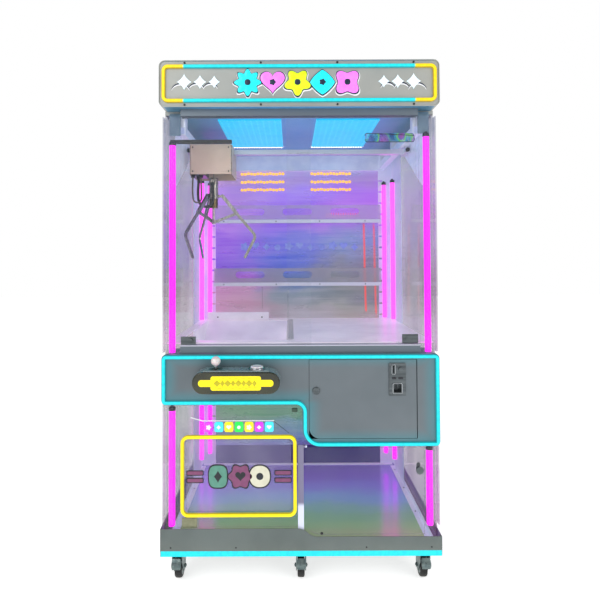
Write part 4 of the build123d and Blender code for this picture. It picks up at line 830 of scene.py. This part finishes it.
# Finishes of the CAD nodes.
finishes = {
    silverPowderCoat: ["header_shell", "header_face"],
    coolPowderCoat: ["control_panel", "control_housing", "service_door"],
    basePowderCoat: ["base_skirt"], floorFoil: ["base_plate"], whitePowderCoat: ["posts"],
    trackAluminium: ["door_tracks"],
    extrudedAluminium: ["gantry_rails"], bridgeAluminium: ["gantry_bridge"], iridescentFoil: ["rear_panel"],
    castAcrylic: ["side_windows"], floatGlass: ["left_glass_door", "right_glass_door"],
    flapAcrylic: ["prize_flap"],
    frontAcrylic: ["prize_front_panel", "access_door", "chute_guard"], shelfAcrylic: ["shelves"],
    pearlLaminate: ["playfield"], cyanNeon: ["cyan_lights"],
    yellowNeon: ["prize_door_light", "console_lamp"],
    magentaTube: ["light_tubes"], opalLamp: ["ceiling_lamps"], consolePaintwork: ["console_body"],
    beigePolycarbonate: ["trolley_cover"], clawSteel: ["claw_head"], galvanisedSheet: ["electrical_parts"],
    polishedSteel: ["claw_plunger", "claw_prong_1", "claw_prong_2", "claw_prong_3", "claw_link_1",
                    "claw_link_2",
                    "claw_link_3"],
    zincPlate: ["trolley", "joystick_gimbal", "rear_caster_forks", "left_caster_fork", "middle_caster_fork",
                "right_caster_fork"],
    satinStainless: ["left_door_lock", "right_door_lock", "service_lock", "access_lock",
                     "coin_return_button",
                     "coin_acceptor"],
    blackAbs: ["header_screws"]}
for material, nodeNames in finishes.items():
    for nodeName in nodeNames:
        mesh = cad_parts[nodeName].data
        mesh.materials.clear()
        mesh.materials.append(material)
print("finishes on CAD nodes:", sum(len(v) for v in finishes.values()))

# Header: title shapes, sparkles and swooshes.
faceLow, faceHigh = boxOf("header_face")
headerFace = faceLow[1]
headerMiddle = (faceLow[2] + faceHigh[2]) / 2
title = {"centre": -6, "pitch": 93, "lift": 3, "rim": 1.09, "backing": 1.15, "drop": 3.5}
titleShapes = [(petals(43, 8, 0.17), titleCyan), (heart(90), titlePink),
               (petals(42, 5, 0.2, math.pi / 2), titleLime),
               (softBox(92, 92, 1.25), titleCyan), (petals(43, 4, 0.2, math.pi), titlePink)]
whites, rims, colourGrids = [], [], {}
for number, (outline, material) in enumerate(titleShapes):
    place = (title["centre"] + (number - 2) * title["pitch"], headerFace, headerMiddle + title["lift"])
    whites.append(plaque(outline * title["backing"], (place[0] + 1, place[1], place[2] - title["drop"]),
                         slab(2)))
    rims.append(plaque(outline * title["rim"], (place[0], place[1] - 2, place[2] - 1), slab(1.6)))
    colourGrids.setdefault(material, []).append(plaque(outline, (place[0], place[1] - 3.6, place[2]),
                                                       dome(3.2)))
    hole = petals(11, 5, 0.12) if number % 2 else softBox(22, 22, 2.4)
    rims.append(plaque(hole, (place[0], place[1] - 6.6, place[2]), slab(1.0)))
makePiece("titleBacking", whites, titleWhite, "cabinet")
makePiece("titleRims", rims, titleNavy, "cabinet")
for material, grids in colourGrids.items():
    makePiece(material.name + "Shapes", grids, material, "cabinet")

sparkles = {"places": [(-429, 56), (-370, 48), (-317, 43), (316, 43), (368, 48), (427, 56)], "lift": 6}
sparkGrids, darkGrids, lightGrids = [], [], []
lens = softBox(4.2, 1.6, 2.5, 16)
for x, size in sparkles["places"]:
    side = -1 if x < 0 else 1
    centre = np.array([x, headerFace, headerMiddle + sparkles["lift"]])
    sparkGrids.append(plaque(softBox(size, size * 1.1, 0.78, 96), centre + (0, -1.8, 0), slab(2.4)))
    # Swoosh: a quarter ellipse under the sparkle, thick in its middle and fine at both ends.
    t = np.linspace(math.radians(15), math.radians(165), 28)
    taper = 0.25 + np.sin(np.linspace(0, math.pi, 28)) ** 0.8
    for grids, drop, depth in ((darkGrids, 0, 1.6), (lightGrids, 4.2, 0.9)):
        path = np.stack([x + side * 14 - size * 0.62 * np.cos(t) * side, np.full(28, headerFace - depth),
                         centre[2] - size * 0.62 - drop + size * 0.52 * np.sin(t)], 1)
        grids.append(carried(lens, path, (0, -1, 0), taper))
makePiece("headerSparkles", sparkGrids, starPale, "cabinet")
makePiece("headerSwooshes", darkGrids, titleNavy, "cabinet")
makePiece("headerUnderlines", lightGrids, titleWhite, "cabinet")
print("header made")


# Screw: pan head turned from (share, height) pairs; the inner radii swing four times a turn, so they
# draw the pressed cross.
def screwHead(centre, axis, radius=4.0, height=2.2):
    t = np.linspace(0, 2 * math.pi, 16, endpoint=False)
    shares = np.array([[0, 0], [1, 0], [1, 0.35], [0.86, 0.75], [0.6, 0.97], [0.42, 1.0], [0.3, 0.5],
                       [0, 0.45]])
    cross = np.where(shares[:, :1] < 0.5, 0.75 + 0.35 * np.cos(4 * t)[None], 1.0)
    across, beside, along = (np.array(v, float) for v in axes[axis])
    circle = np.cos(t)[:, None] * across + np.sin(t)[:, None] * beside
    points = np.array(centre, float) + (shares[:, :1] * cross)[..., None] * radius * circle \
        + shares[:, 1, None, None] * height * along
    return points, False, True


shelfLow = boxOf("shelves")[0]
skirtLow, skirtHigh = boxOf("base_skirt")
rearHigh = boxOf("rear_panel")[1]
screwPlaces = {
    "shelfX": (-380, -110, 115, 350), "shelfZ": (1405, 1080), "skirt": [(76, 199)],
    "rearX": (-500, -250, 0, 250, 500), "rearZ": (240, 640, 1040, 1440, 1740), "sideY": (-280, 0, 300)}
steelScrews = [screwHead((x, shelfLow[1], z), "front", 3.2,
                         1.6) for x in screwPlaces["shelfX"] for z in screwPlaces["shelfZ"]]
steelScrews += [screwHead((x, rearHigh[1], z), "back", 4.5,
                          2.2) for x in screwPlaces["rearX"] for z in screwPlaces["rearZ"]
                if abs(x) > 1 or z > 1700 or z < 300]
steelScrews += [screwHead((side * skirtHigh[0], y, 150), name, 4, 2) for side,
                name in ((-1, "left"), (1, "right"))
                for y in screwPlaces["sideY"]]
makePiece("panelScrews", steelScrews, zincPlate, "cabinet")
darkScrews = [screwHead((x, skirtLow[1], z), "front", 5.2, 2.4) for x, z in screwPlaces["skirt"]]
darkScrews += [screwHead((x, skirtLow[1], 148), "front", 3.0, 1.2) for x in (-480, -240, 240, 480)]
makePiece("skirtScrews", darkScrews, blackAbs, "cabinet")

# Window dressing: duct, corner plates, decal and its border.
trackHigh = boxOf("door_tracks")[1]
duct = {"x": (-496, -259), "z": (1653, 1668), "behind": 3.5, "depth": 9}
makePiece("blackDuct", [plaque(roundedBox(duct["x"][1] - duct["x"][0], duct["z"][1] - duct["z"][0], 2.5),
                               ((duct["x"][0] + duct["x"][1]) / 2,
                                trackHigh[1] + duct["behind"] + duct["depth"],
                                (duct["z"][0] + duct["z"][1]) / 2), slab(duct["depth"], 0.01))],
          blackAbs, "cabinet")
cornerPlates = [plaque(roundedBox(43, 84, 3), (side * 474, trackHigh[1] - 6, 1704 + lift), slab(1.5, 0.02))
                for side, lift in ((-1, 18), (1, 24))]
# Slate blue-grey on the pressed corner plates, cool and satin: painted shade of the dark corner over the window.
cornerShadeSlate = surface("cornerShadeSlate", ("#5c7285", "#68808f"), 60, (0.4, 0.52), 40, 1.4, 0.03,
                      fixed={"Metallic": 0.2})
makePiece("topCornerPlates", cornerPlates, cornerShadeSlate, "cabinet")

decal = {"x": (250, 438), "z": (1652, 1686), "radius": 10}
rightDoorLow = boxOf("right_glass_door")[0]
decalSize = (decal["x"][1] - decal["x"][0], decal["z"][1] - decal["z"][0])
decalCentre = (sum(decal["x"]) / 2, rightDoorLow[1] - 0.02, sum(decal["z"]) / 2)
makePiece("glassDecal", [plaque(roundedBox(*decalSize, decal["radius"]), decalCentre, slab(0.3, 0.004))],
          vinylDecal,
          "right_door")
borderPath = roundedBox(*decalSize, decal["radius"])
borderPath = np.stack([borderPath[:, 0] + decalCentre[0], np.full(len(borderPath), decalCentre[1] - 0.5),
                       borderPath[:, 1] + decalCentre[2]], 1)
keep = (borderPath[:, 2] < decalCentre[2] + 8) | (borderPath[:, 0] < decalCentre[0] - 60)
order = np.roll(np.arange(len(borderPath)), -16)
lowerEdge = borderPath[order][keep[order]]
makePiece("glassDecalBorder", [carried(softBox(2.6, 0.7, 4, 12), lowerEdge, (0, -1, 0))], inkBlack,
          "right_door")

# Light tubes: black end caps, and diode beads behind the ceiling lamps.
tubeCaps = [(-482, -342, 1650, 12.6), (482, -342, 1680, 12.6), (-482, -342, 651, 12.6),
            (482, -342, 502, 12.6),
            (-468, 442, 1615, 11.6), (468, 442, 1615, 11.6), (-496.5, 360.5, 1615, 11.6),
            (496.5, 360.5, 1615, 11.6)]
capProfile = np.array([(0, -9), (1, -9), (1, 2), (0.9, 5), (0.45, 6.5), (0.4, 11), (0, 11)])
capGrids = [turned(capProfile * (radius, 1), (x, frontY + 20 if y < 0 else y, z), "up", 28) for x, y, z,
            radius in tubeCaps]
makePiece("tubeCaps", capGrids, blackAbs, "cabinet")
ceilingLampHigh = boxOf("ceiling_lamps")[1]
beads = {"pitch": 12, "y": ceilingLampHigh[1] + 12, "spans": ((-318, -72), (72, 318))}
beadGrids = [turned([(0, 0), (3.4, 0), (3.2, 1.4), (2.0, 2.6), (0, 3.0)], (x, beads["y"], 1757.5), "down",
                    10)
             for low, high in beads["spans"] for x in np.arange(low, high, beads["pitch"])]
makePiece("diodeBeads", beadGrids, whiteDiode, "cabinet")
beadBars = [plaque(roundedBox(high - low + 14, 12, 2), ((low + high) / 2, beads["y"], 1762),
                   slab(4.5, 0.01), "down")
            for low, high in beads["spans"]]
makePiece("diodeBars", beadBars, whitePowderCoat, "cabinet")
print("windows and lights made")

# Back wall: glowing warm dashes as painted reflection of orange light strips in the foil, raised shapes, ledge
# and perforations.
warmReflectionRows = {"z": (1671, 1627, 1585), "spans": ((-303, -65), (75, 296)), "pitch": 17, "size": (15, 14)}
warmReflectionGrids = [plaque(roundedBox(*warmReflectionRows["size"], 4, 3), (x, foilFace * 1000, z + 2 * math.sin(x)),
                    slab(1.5, 0.1))
             for z in warmReflectionRows["z"] for low, high in warmReflectionRows["spans"] for x in np.arange(low + 7, high,
                     warmReflectionRows["pitch"])]
# Painted reflection: amber glowing caps standing in for orange light strips reflected in the foil.
warmReflectionGlow = surface("warmReflectionGlow", ("#c98a2a", "#d89a3a"), 6, (0.25, 0.35), 5, 1.0, 0.01,
                    glow=neonGlow(1.1, "#ffbe4c"),
                    fixed={"IOR": 1.43})
makePiece("warmReflectionDashes", warmReflectionGrids, warmReflectionGlow, "cabinet")
glintRows = [plaque(softBox(2.6, 12, 3, 10), (x, foilFace * 1000, z), slab(1.2, 0.1))
             for z in (1440, 1452) for x in np.arange(160, 330, 13)]
# Painted reflection: red glowing caps standing in for red light reflected in the foil, dimmer than the amber
# ones.
redReflectionGlow = surface("redReflectionGlow", ("#a8402a", "#b84a34"), 6, (0.25, 0.35), 5, 1.0, 0.01,
                   glow=neonGlow(0.8, "#ff6a4c"),
                   fixed={"IOR": 1.43})
makePiece("redReflectionDashes", glintRows, redReflectionGlow, "cabinet")

# Floor: white angles along the sides and the rear of the lower bay.
floorTop = floorFace * 1000
angle = {"width": 24, "thick": 3, "sideX": 497, "sideY": (-345, 415), "rearX": (-500, 500), "rearY": 440}
sideSection = roundedBox(angle["width"], angle["thick"], 1.2, 4)
angles = []
for side in (-1, 1):
    path = np.linspace((side * angle["sideX"], angle["sideY"][0], floorTop + 2),
                       (side * angle["sideX"], angle["sideY"][1], floorTop + 2), 12)
    angles.append(carried(sideSection, path, (0, 0, 1)))
    upright = path + (side * 10.5, 0, 11)
    angles.append(carried(roundedBox(2.6, 24, 1.2, 4), upright, (0, 0, 1)))
path = np.linspace((angle["rearX"][0], angle["rearY"], floorTop + 2),
                   (angle["rearX"][1], angle["rearY"], floorTop + 2), 24)
angles.append(carried(sideSection, path, (0, 0, 1)))
makePiece("floorAngles", angles, whitePowderCoat, "cabinet")
angleScrews = [screwHead((side * angle["sideX"], y, floorTop + 3), "up", 4, 2) for side in (-1,
        1) for y in (-280, -60, 160, 360)]
makePiece("angleScrews", angleScrews, zincPlate, "cabinet")

shapes = {"x": (-284, 310), "z": 1277, "number": 11}
ornaments = []
for number, x in enumerate(np.linspace(*shapes["x"], shapes["number"])):
    outline = (petals(20, 5, 0.2), heart(42), softBox(44, 44, 0.8, 96), softBox(34, 34, 2.0))[number % 4]
    ornaments.append(plaque(outline, (x, foilFace * 1000, shapes["z"] + 5 * math.sin(number * 1.7)),
                            dome(3.5)))
makePiece("wallOrnaments", ornaments, wallBlue, "cabinet")
ledge = {"x": (-470, -150), "z": (894, 934), "y": 372, "holesX": -189, "holesZ": (948, 1056),
         "screwX": (-416, -186)}
makePiece("chuteLedge", [plaque(roundedBox(ledge["x"][1] - ledge["x"][0], ledge["z"][1] - ledge["z"][0], 4),
                                (sum(ledge["x"]) / 2, ledge["y"] + 2, sum(ledge["z"]) / 2), slab(2, 0.01))],
          pearlLaminate, "cabinet")
ledgeParts = [screwHead((x, ledge["y"], 908), "front", 3.6, 1.6) for x in ledge["screwX"]]
ledgeParts += [turned([(0, 0), (2.2, 0), (2.2, 0.6), (0, 0.6)], (ledge["holesX"], foilFace * 1000, z),
                      "front", 12)
               for z in np.linspace(*ledge["holesZ"], 10)]
makePiece("ledgeScrews", ledgeParts, blackAbs, "cabinet")

# Prize side: sign tiles over the ring, printed shapes on the flap, clips.
panelLow = boxOf("prize_front_panel")[0]
flapLow = boxOf("prize_flap")[0]
sign = {"x": (-358, -100), "z": (566, 606), "pitch": 37.4, "depth": 5}
tileOrder = [tilePurple, tileCyan, tileAmber, tileGreen, tileAmber, tilePurple, tileCyan]
tileGrids, motifGrids = {}, []
for number, material in enumerate(tileOrder):
    x = sign["x"][0] + 17 + number * sign["pitch"]
    z = sum(sign["z"]) / 2
    tileGrids.setdefault(material, []).append(plaque(softBox(33, 37, 5), (x, panelLow[1], z),
                                                     dome(sign["depth"])))
    motif = (petals(8.5, 5, 0.2), softBox(17, 17, 0.9, 64), heart(18), softBox(13, 13, 2.0))[number % 4]
    motifGrids.append(plaque(motif, (x, panelLow[1] - sign["depth"] + 0.3, z), slab(1.4)))
for material, grids in tileGrids.items():
    makePiece(material.name + "Signs", grids, material, "cabinet")
makePiece("signMotifs", motifGrids, titleWhite, "cabinet")
trayPaths = [((-362, -366, 610), (-98, -366, 610)), ((-408, -366, 623), (-360, -366, 609))]
trayGrids = [carried(softBox(3.4, 3.4, 4, 12), np.linspace(a, b, 12), (0, -1, 0)) for a, b in trayPaths]
makePiece("signEdges", trayGrids, titleWhite, "cabinet")
makePiece("signStay", [carried(softBox(1.8, 1.8, 2, 10),
                               np.linspace((-100, -364, 607), (-44, -364, 564), 10), (0, -1, 0))],
          blackAbs, "cabinet")

flapFace = flapLow[1]
flapPrint = {"barX": (-392, -66), "barZ": (417, 390), "bar": (64, 17)}
outlines, plums, teals, creams = [], [], [], []
for x in flapPrint["barX"]:
    for z in flapPrint["barZ"]:
        outlines.append(plaque(softBox(flapPrint["bar"][0], flapPrint["bar"][1] + 3, 9), (x, flapFace, z),
                               slab(0.6)))
        plums.append(plaque(softBox(flapPrint["bar"][0] - 7, flapPrint["bar"][1] - 4, 9),
                            (x, flapFace - 0.6, z), slab(0.6)))
for x, z, outline, group in ((-307, 404, softBox(66, 80, 3.2), teals),
                             (-224, 404, petals(40, 6, 0.12), plums),
                             (-152, 404, softBox(74, 78, 2.3), creams)):
    outlines.append(plaque(outline * 1.13, (x, flapFace, z), slab(0.6)))
    group.append(plaque(outline, (x, flapFace - 0.6, z), slab(0.6)))
    inner = (softBox(30, 44, 0.9, 64), heart(38), softBox(26, 26, 2.0))[[-307, -224, -152].index(x)]
    outlines.append(plaque(inner, (x, flapFace - 1.2, z), slab(0.5)))
makePiece("flapOutlines", outlines, inkBlack, "prize_flap")
makePiece("flapPlum", plums, inkPlum, "prize_flap")
makePiece("flapTeal", teals, inkTeal, "prize_flap")
makePiece("flapCream", creams, inkCream, "prize_flap")
makePiece("hingeClip", [plaque(roundedBox(22, 15, 4), (-22, panelLow[1], 648), slab(5, 0.1))], greenNylon,
          "cabinet")
makePiece("lowerClip", [plaque(roundedBox(56, 36, 3), (-412, panelLow[1], 236), slab(2.5, 0.04))],
          oliveSteel, "cabinet")
print("prize side made")

# Console: lamp motif, joystick and drop button.
lampLow, lampHigh = boxOf("console_lamp")
lampMiddle = (lampLow + lampHigh) / 2
motif = {"x": (-66, 66), "number": 8, "height": 24}
motifShapes = []
for number, x in enumerate(np.linspace(*motif["x"], motif["number"])):
    outline = softBox(17, motif["height"], 0.9, 48) if number % 2 else petals(9.5, 4, 0.15)
    motifShapes.append(plaque(outline, (lampMiddle[0] + x, lampLow[1], lampMiddle[2]), slab(0.8)))
t = np.linspace(0, 1, 60)
for lift in (-16, 16):
    wave = np.stack([lampMiddle[0] + (t - 0.5) * 150, np.full(60, lampLow[1] - 0.4),
                     lampMiddle[2] + lift + 1.2 * np.sin(t * 40)], 1)
    motifShapes.append(carried(softBox(1.6, 0.8, 4, 10), wave, (0, -1, 0)))
makePiece("lampMotif", motifShapes, lampMotifOlive, "cabinet")

stickLow, stickHigh = boxOf("joystick")
stickX, stickY = (stickLow[0] + stickHigh[0]) / 2, (stickLow[1] + stickHigh[1]) / 2
ball = {"radius": 17.4, "centre": stickHigh[2] - 17.5}
turns = np.linspace(-math.pi / 2, math.pi / 2, 28)
ballProfile = np.stack([ball["radius"] * np.cos(turns), ball["radius"] * np.sin(turns)], 1)
makePiece("joystickBall", [turned(ballProfile, (stickX, stickY, ball["centre"]), "up", 44)], pearlAcrylic,
          "joystick",
          60, ["joystick"])
shaft = [(0, 766), (4.4, 766), (4.4, 779), (7.4, 780), (7.4, 792), (4.4, 793), (4.4, 819), (9, 819.8),
         (9.6, 820.8),
         (7.6, 822.2), (6.2, 822.8), (6.2, 826), (0, 826)]
makePiece("joystickShaft", [turned(shaft, (stickX, stickY, 0), "up", 32)], chromePlate, "joystick",
          30)
buttonLow, buttonHigh = boxOf("drop_button")
buttonX, buttonY = (buttonLow[0] + buttonHigh[0]) / 2, (buttonLow[1] + buttonHigh[1]) / 2
top = buttonHigh[2]
buttonProfile = [(0, buttonLow[2]), (23.8, buttonLow[2]), (23.8, top - 7), (22.8, top - 2.4),
                 (20.5, top - 0.4), (17, top - 0.2),
                 (14, top - 1.6), (8, top - 2.6), (0, top - 2.9)]
makePiece("dropButtonCap", [turned(buttonProfile, (buttonX, buttonY, 0), "up", 48)], pearlAcrylic,
          "drop_button",
          40, ["drop_button"])
bezelTop = boxOf("console_body")[1][2]
bezelProfile = [(24.7, bezelTop - 4.8), (29.6, bezelTop - 4.8), (29.9, bezelTop - 1),
                (28.4, bezelTop + 1.6), (26.4, bezelTop + 2.2),
                (24.8, bezelTop + 1.2), (24.5, bezelTop - 2)]
makePiece("buttonBezel", [turned(bezelProfile, (buttonX, buttonY, 0), "up", 48, ring=True)], chromePlate,
          "cabinet")
plate = [(14.5, bezelTop - 4.8), (24, bezelTop - 4.8), (24, bezelTop - 4), (22.5, bezelTop - 3.6),
         (14.5, bezelTop - 3.6)]
makePiece("joystickPlate", [turned(plate, (stickX, stickY, 0), "up", 40, ring=True)], zincPlate, "cabinet")

# Coin plate: slot guide, return cup rim and printed marks.
coinLow, coinHigh = boxOf("coin_acceptor")
coinX, coinFace = (coinLow[0] + coinHigh[0]) / 2, coinLow[1]
guide = [carried(softBox(3, 3, 3, 12), np.vstack([roundedBox(13, 36, 5) + (coinX - 14, 800)]).repeat(1,
        0) @ np.array([[1, 0, 0], [0, 0, 1.0]])
                 + (0, coinFace - 0.4, 0), (0, -1, 0), closed=True),
         carried(softBox(3.4, 3.4, 3, 12), (roundedBox(34, 36, 4) + (coinX, 731)) @ np.array([[1, 0, 0],
                 [0, 0, 1.0]])
                 + (0, coinFace - 0.6, 0), (0, -1, 0), closed=True)]
makePiece("coinGuides", guide, chromePlate, "service_door")
marks = [plaque(softBox(width, 8, 6), (coinX + x, coinFace, 768), slab(0.7)) for x,
         width in ((-12, 16), (12, 18))]
marks.append(plaque(softBox(3, 16, 2.5), (coinX, coinFace + 20, 731), slab(6)))
makePiece("coinMarks", marks, inkBlack, "service_door")
print("console and coin plate made")

# Casters: tyres and hubs on the wheels, pedals and nuts on the forks.
wheel = {"bore": 4.1}
tyre = [(wheel["bore"] + 12, -12), (28, -13), (33, -13.6), (37, -12.6), (39.4, -9.5), (40, -4), (40, 4),
        (39.4, 9.5),
        (37, 12.6), (33, 13.6), (28, 13), (wheel["bore"] + 12, 12)]
hub = [(wheel["bore"], -14), (9, -14), (9.6, -12), (15, -11.2), (17, -12.4), (26.5, -12.9), (28, -13.4),
       (28.6, -12.4), (28.6, 12.4),
       (28, 13.4), (26.5, 12.9), (17, 12.4), (15, 11.2), (9.6, 12), (9, 14), (wheel["bore"], 14)]
wheelPieces = (("frontLeft", "front_left_wheel"), ("frontMiddle", "front_middle_wheel"),
               ("frontRight", "front_right_wheel"),
               ("rearLeft", "rear_left_wheel"), ("rearRight", "rear_right_wheel"))
for name, node in wheelPieces:
    low, high = boxOf(node)
    centre = (low + high) / 2
    makePiece(name + "Tyre", [turned(tyre, centre, "right", 56, ring=True)], tyrePolyurethane, node,
              40, [node])
    makePiece(name + "Hub", [turned(hub, centre, "right", 40, ring=True)], zincPlate, node, 30)
for place in ("left", "middle", "right"):
    low, high = boxOf(place + "_caster_fork")
    x = (low[0] + high[0]) / 2
    axleY = (low[1] + 26 + 26)
    # Pedal: a plate that rises in front of the crown, bends over and ends in a curled tread.
    t = np.linspace(0, 1, 20)
    path = np.stack([np.full(20, x), low[1] - 6 - 10 * np.sin(t * 2.4), 98 - 36 * t], 1)
    width = 15 + 3 * np.sin(t * math.pi)
    section = np.stack([np.stack([softBox(1, 1, 8, 20)[:, 0] * 2 * w, softBox(1, 1, 8, 20)[:, 1] * 3.2],
                                 1) for w in width])
    makePiece(place + "BrakePedal", [carried(section, path, (0, -1, 0.4))], zincPlate, place + "_fork")
    nuts = [turned([(0, 0), (7, 0), (7, 3.2), (6, 4.4), (3.6, 4.6), (3.2, 6), (0, 6)],
                   (x + side * 19.2, axleY, 40), name, 6)
            for side, name in ((-1, "left"), (1, "right"))]
    makePiece(place + "AxleNuts", nuts, zincPlate, place + "_fork", 20)
print("casters made")

# Gantry: cable glands, cover screws, rail end stops.
gland = [(0, -1), (10.5, -1), (10.5, 2), (8.2, 3), (8.2, 9), (7.2, 10), (0, 10)]
makePiece("trolleyGlands", [turned(gland, (-428, -101, 1564), "down", 20),
                            turned(gland, (-447, -129, 1564), "down", 16),
                            turned(gland, (-413, -126, 1564), "down", 16)], blackAbs, "trolley")
makePiece("clawGland", [turned(gland, (-368, -99, 1537), "down", 20)], blackAbs, "claw")
coverLow, coverHigh = boxOf("trolley_cover")
coverScrews = [screwHead((x, coverLow[1], z), "front", 3.2, 1.5) for x in (coverLow[0] + 14,
        coverHigh[0] - 14)
               for z in (coverLow[2] + 12, coverHigh[2] - 12)]
makePiece("coverScrews", coverScrews, blackAbs, "trolley")
bridgeLow = boxOf("gantry_bridge")[0]
knobProfile = [(0, 0), (8.6, 0), (9.2, 1.5), (9.2, 6), (7.6, 8.4), (3, 9), (0, 9)]
makePiece("bridgeKnobs", [turned(knobProfile, (side * 465, bridgeLow[1] + 7.5, bridgeLow[2] + 10), "front",
                                 24) for side in (-1, 1)],
          blackAbs, "bridge")

# Back: louvres over the electrics, and the mains inlet's rim.
louvres = [carried(softBox(7, 5, 2.5, 14), np.linspace((x - 55, rearHigh[1] + 0.5, z),
                                                       (x + 55, rearHigh[1] + 0.5, z), 14), (0, 0, 1),
                   np.sin(np.linspace(0.15, math.pi - 0.15, 14)) ** 0.3)
           for x in (-150, 150) for z in range(560, 760, 22)]
makePiece("rearLouvres", louvres, galvanisedSheet, "cabinet")
inletRim = carried(softBox(4, 4, 4, 12), (roundedBox(54, 38, 5) + (394, 1816)) @ np.array([[1, 0, 0],
        [0, 0, 1.0]])
                   + (0, rearHigh[1] + 0.6, 0), (0, 1, 0), closed=True)
makePiece("inletRim", [inletRim], blackAbs, "cabinet")
print("back made")

# Floor, sky and soft lamps.
floorMesh = bpy.data.meshes.new("studioFloor")
grid = np.linspace(-14, 14, 15)
gx, gy = np.meshgrid(grid, grid)
index = np.arange(225).reshape(15, 15)
floorFaces = np.stack([index[:-1, :-1], index[:-1, 1:], index[1:, 1:], index[1:, :-1]], -1).reshape(-1, 4)
floorMesh.from_pydata(np.stack([gx, gy, gx * 0], -1).reshape(-1, 3).tolist(), [], floorFaces.tolist())
studioFloor = bpy.data.objects.new("studioFloor", floorMesh)
scene.collection.objects.link(studioFloor)
# Pale paper: matt, barely mottled.
palePaper = surface("palePaper", ("#fbfbfb", "#ffffff"), 900, (0.85, 0.95), 300, 3, 0.02,
                    glow=lambda tree, coords, colour: (colour, 0.6))
floorMesh.materials.append(palePaper)

world = bpy.data.worlds.new("studio")
scene.world = world
world.use_nodes = True
sky = world.node_tree
sky.nodes.clear()
seen = addNode(sky, "ShaderNodeLightPath").outputs["Is Camera Ray"]
strength = fade(sky, seen, 0.0, 1.0, 0.55, 1.0)
background = addNode(sky, "ShaderNodeBackground", {0: (1, 1, 1, 1), 1: strength})
addNode(sky, "ShaderNodeOutputWorld", {0: background.outputs[0]})

lamps = {"key": ((-2.2, -3.6, 3.2), 2.6, 55), "fill": ((2.8, -3.2, 2.2), 2.2, 34),
         "rear": ((0.5, 3.4, 3.4), 2.4, 30)}
for name, (place, size, power) in lamps.items():
    data = bpy.data.lights.new(name, "AREA")
    data.size, data.energy = size, power
    lamp = bpy.data.objects.new(name, data)
    scene.collection.objects.link(lamp)
    lamp.location = place
    lamp.rotation_euler = (Vector((0, 0, 1)) - Vector(place)).to_track_quat("-Z", "Y").to_euler()
print("stage made")
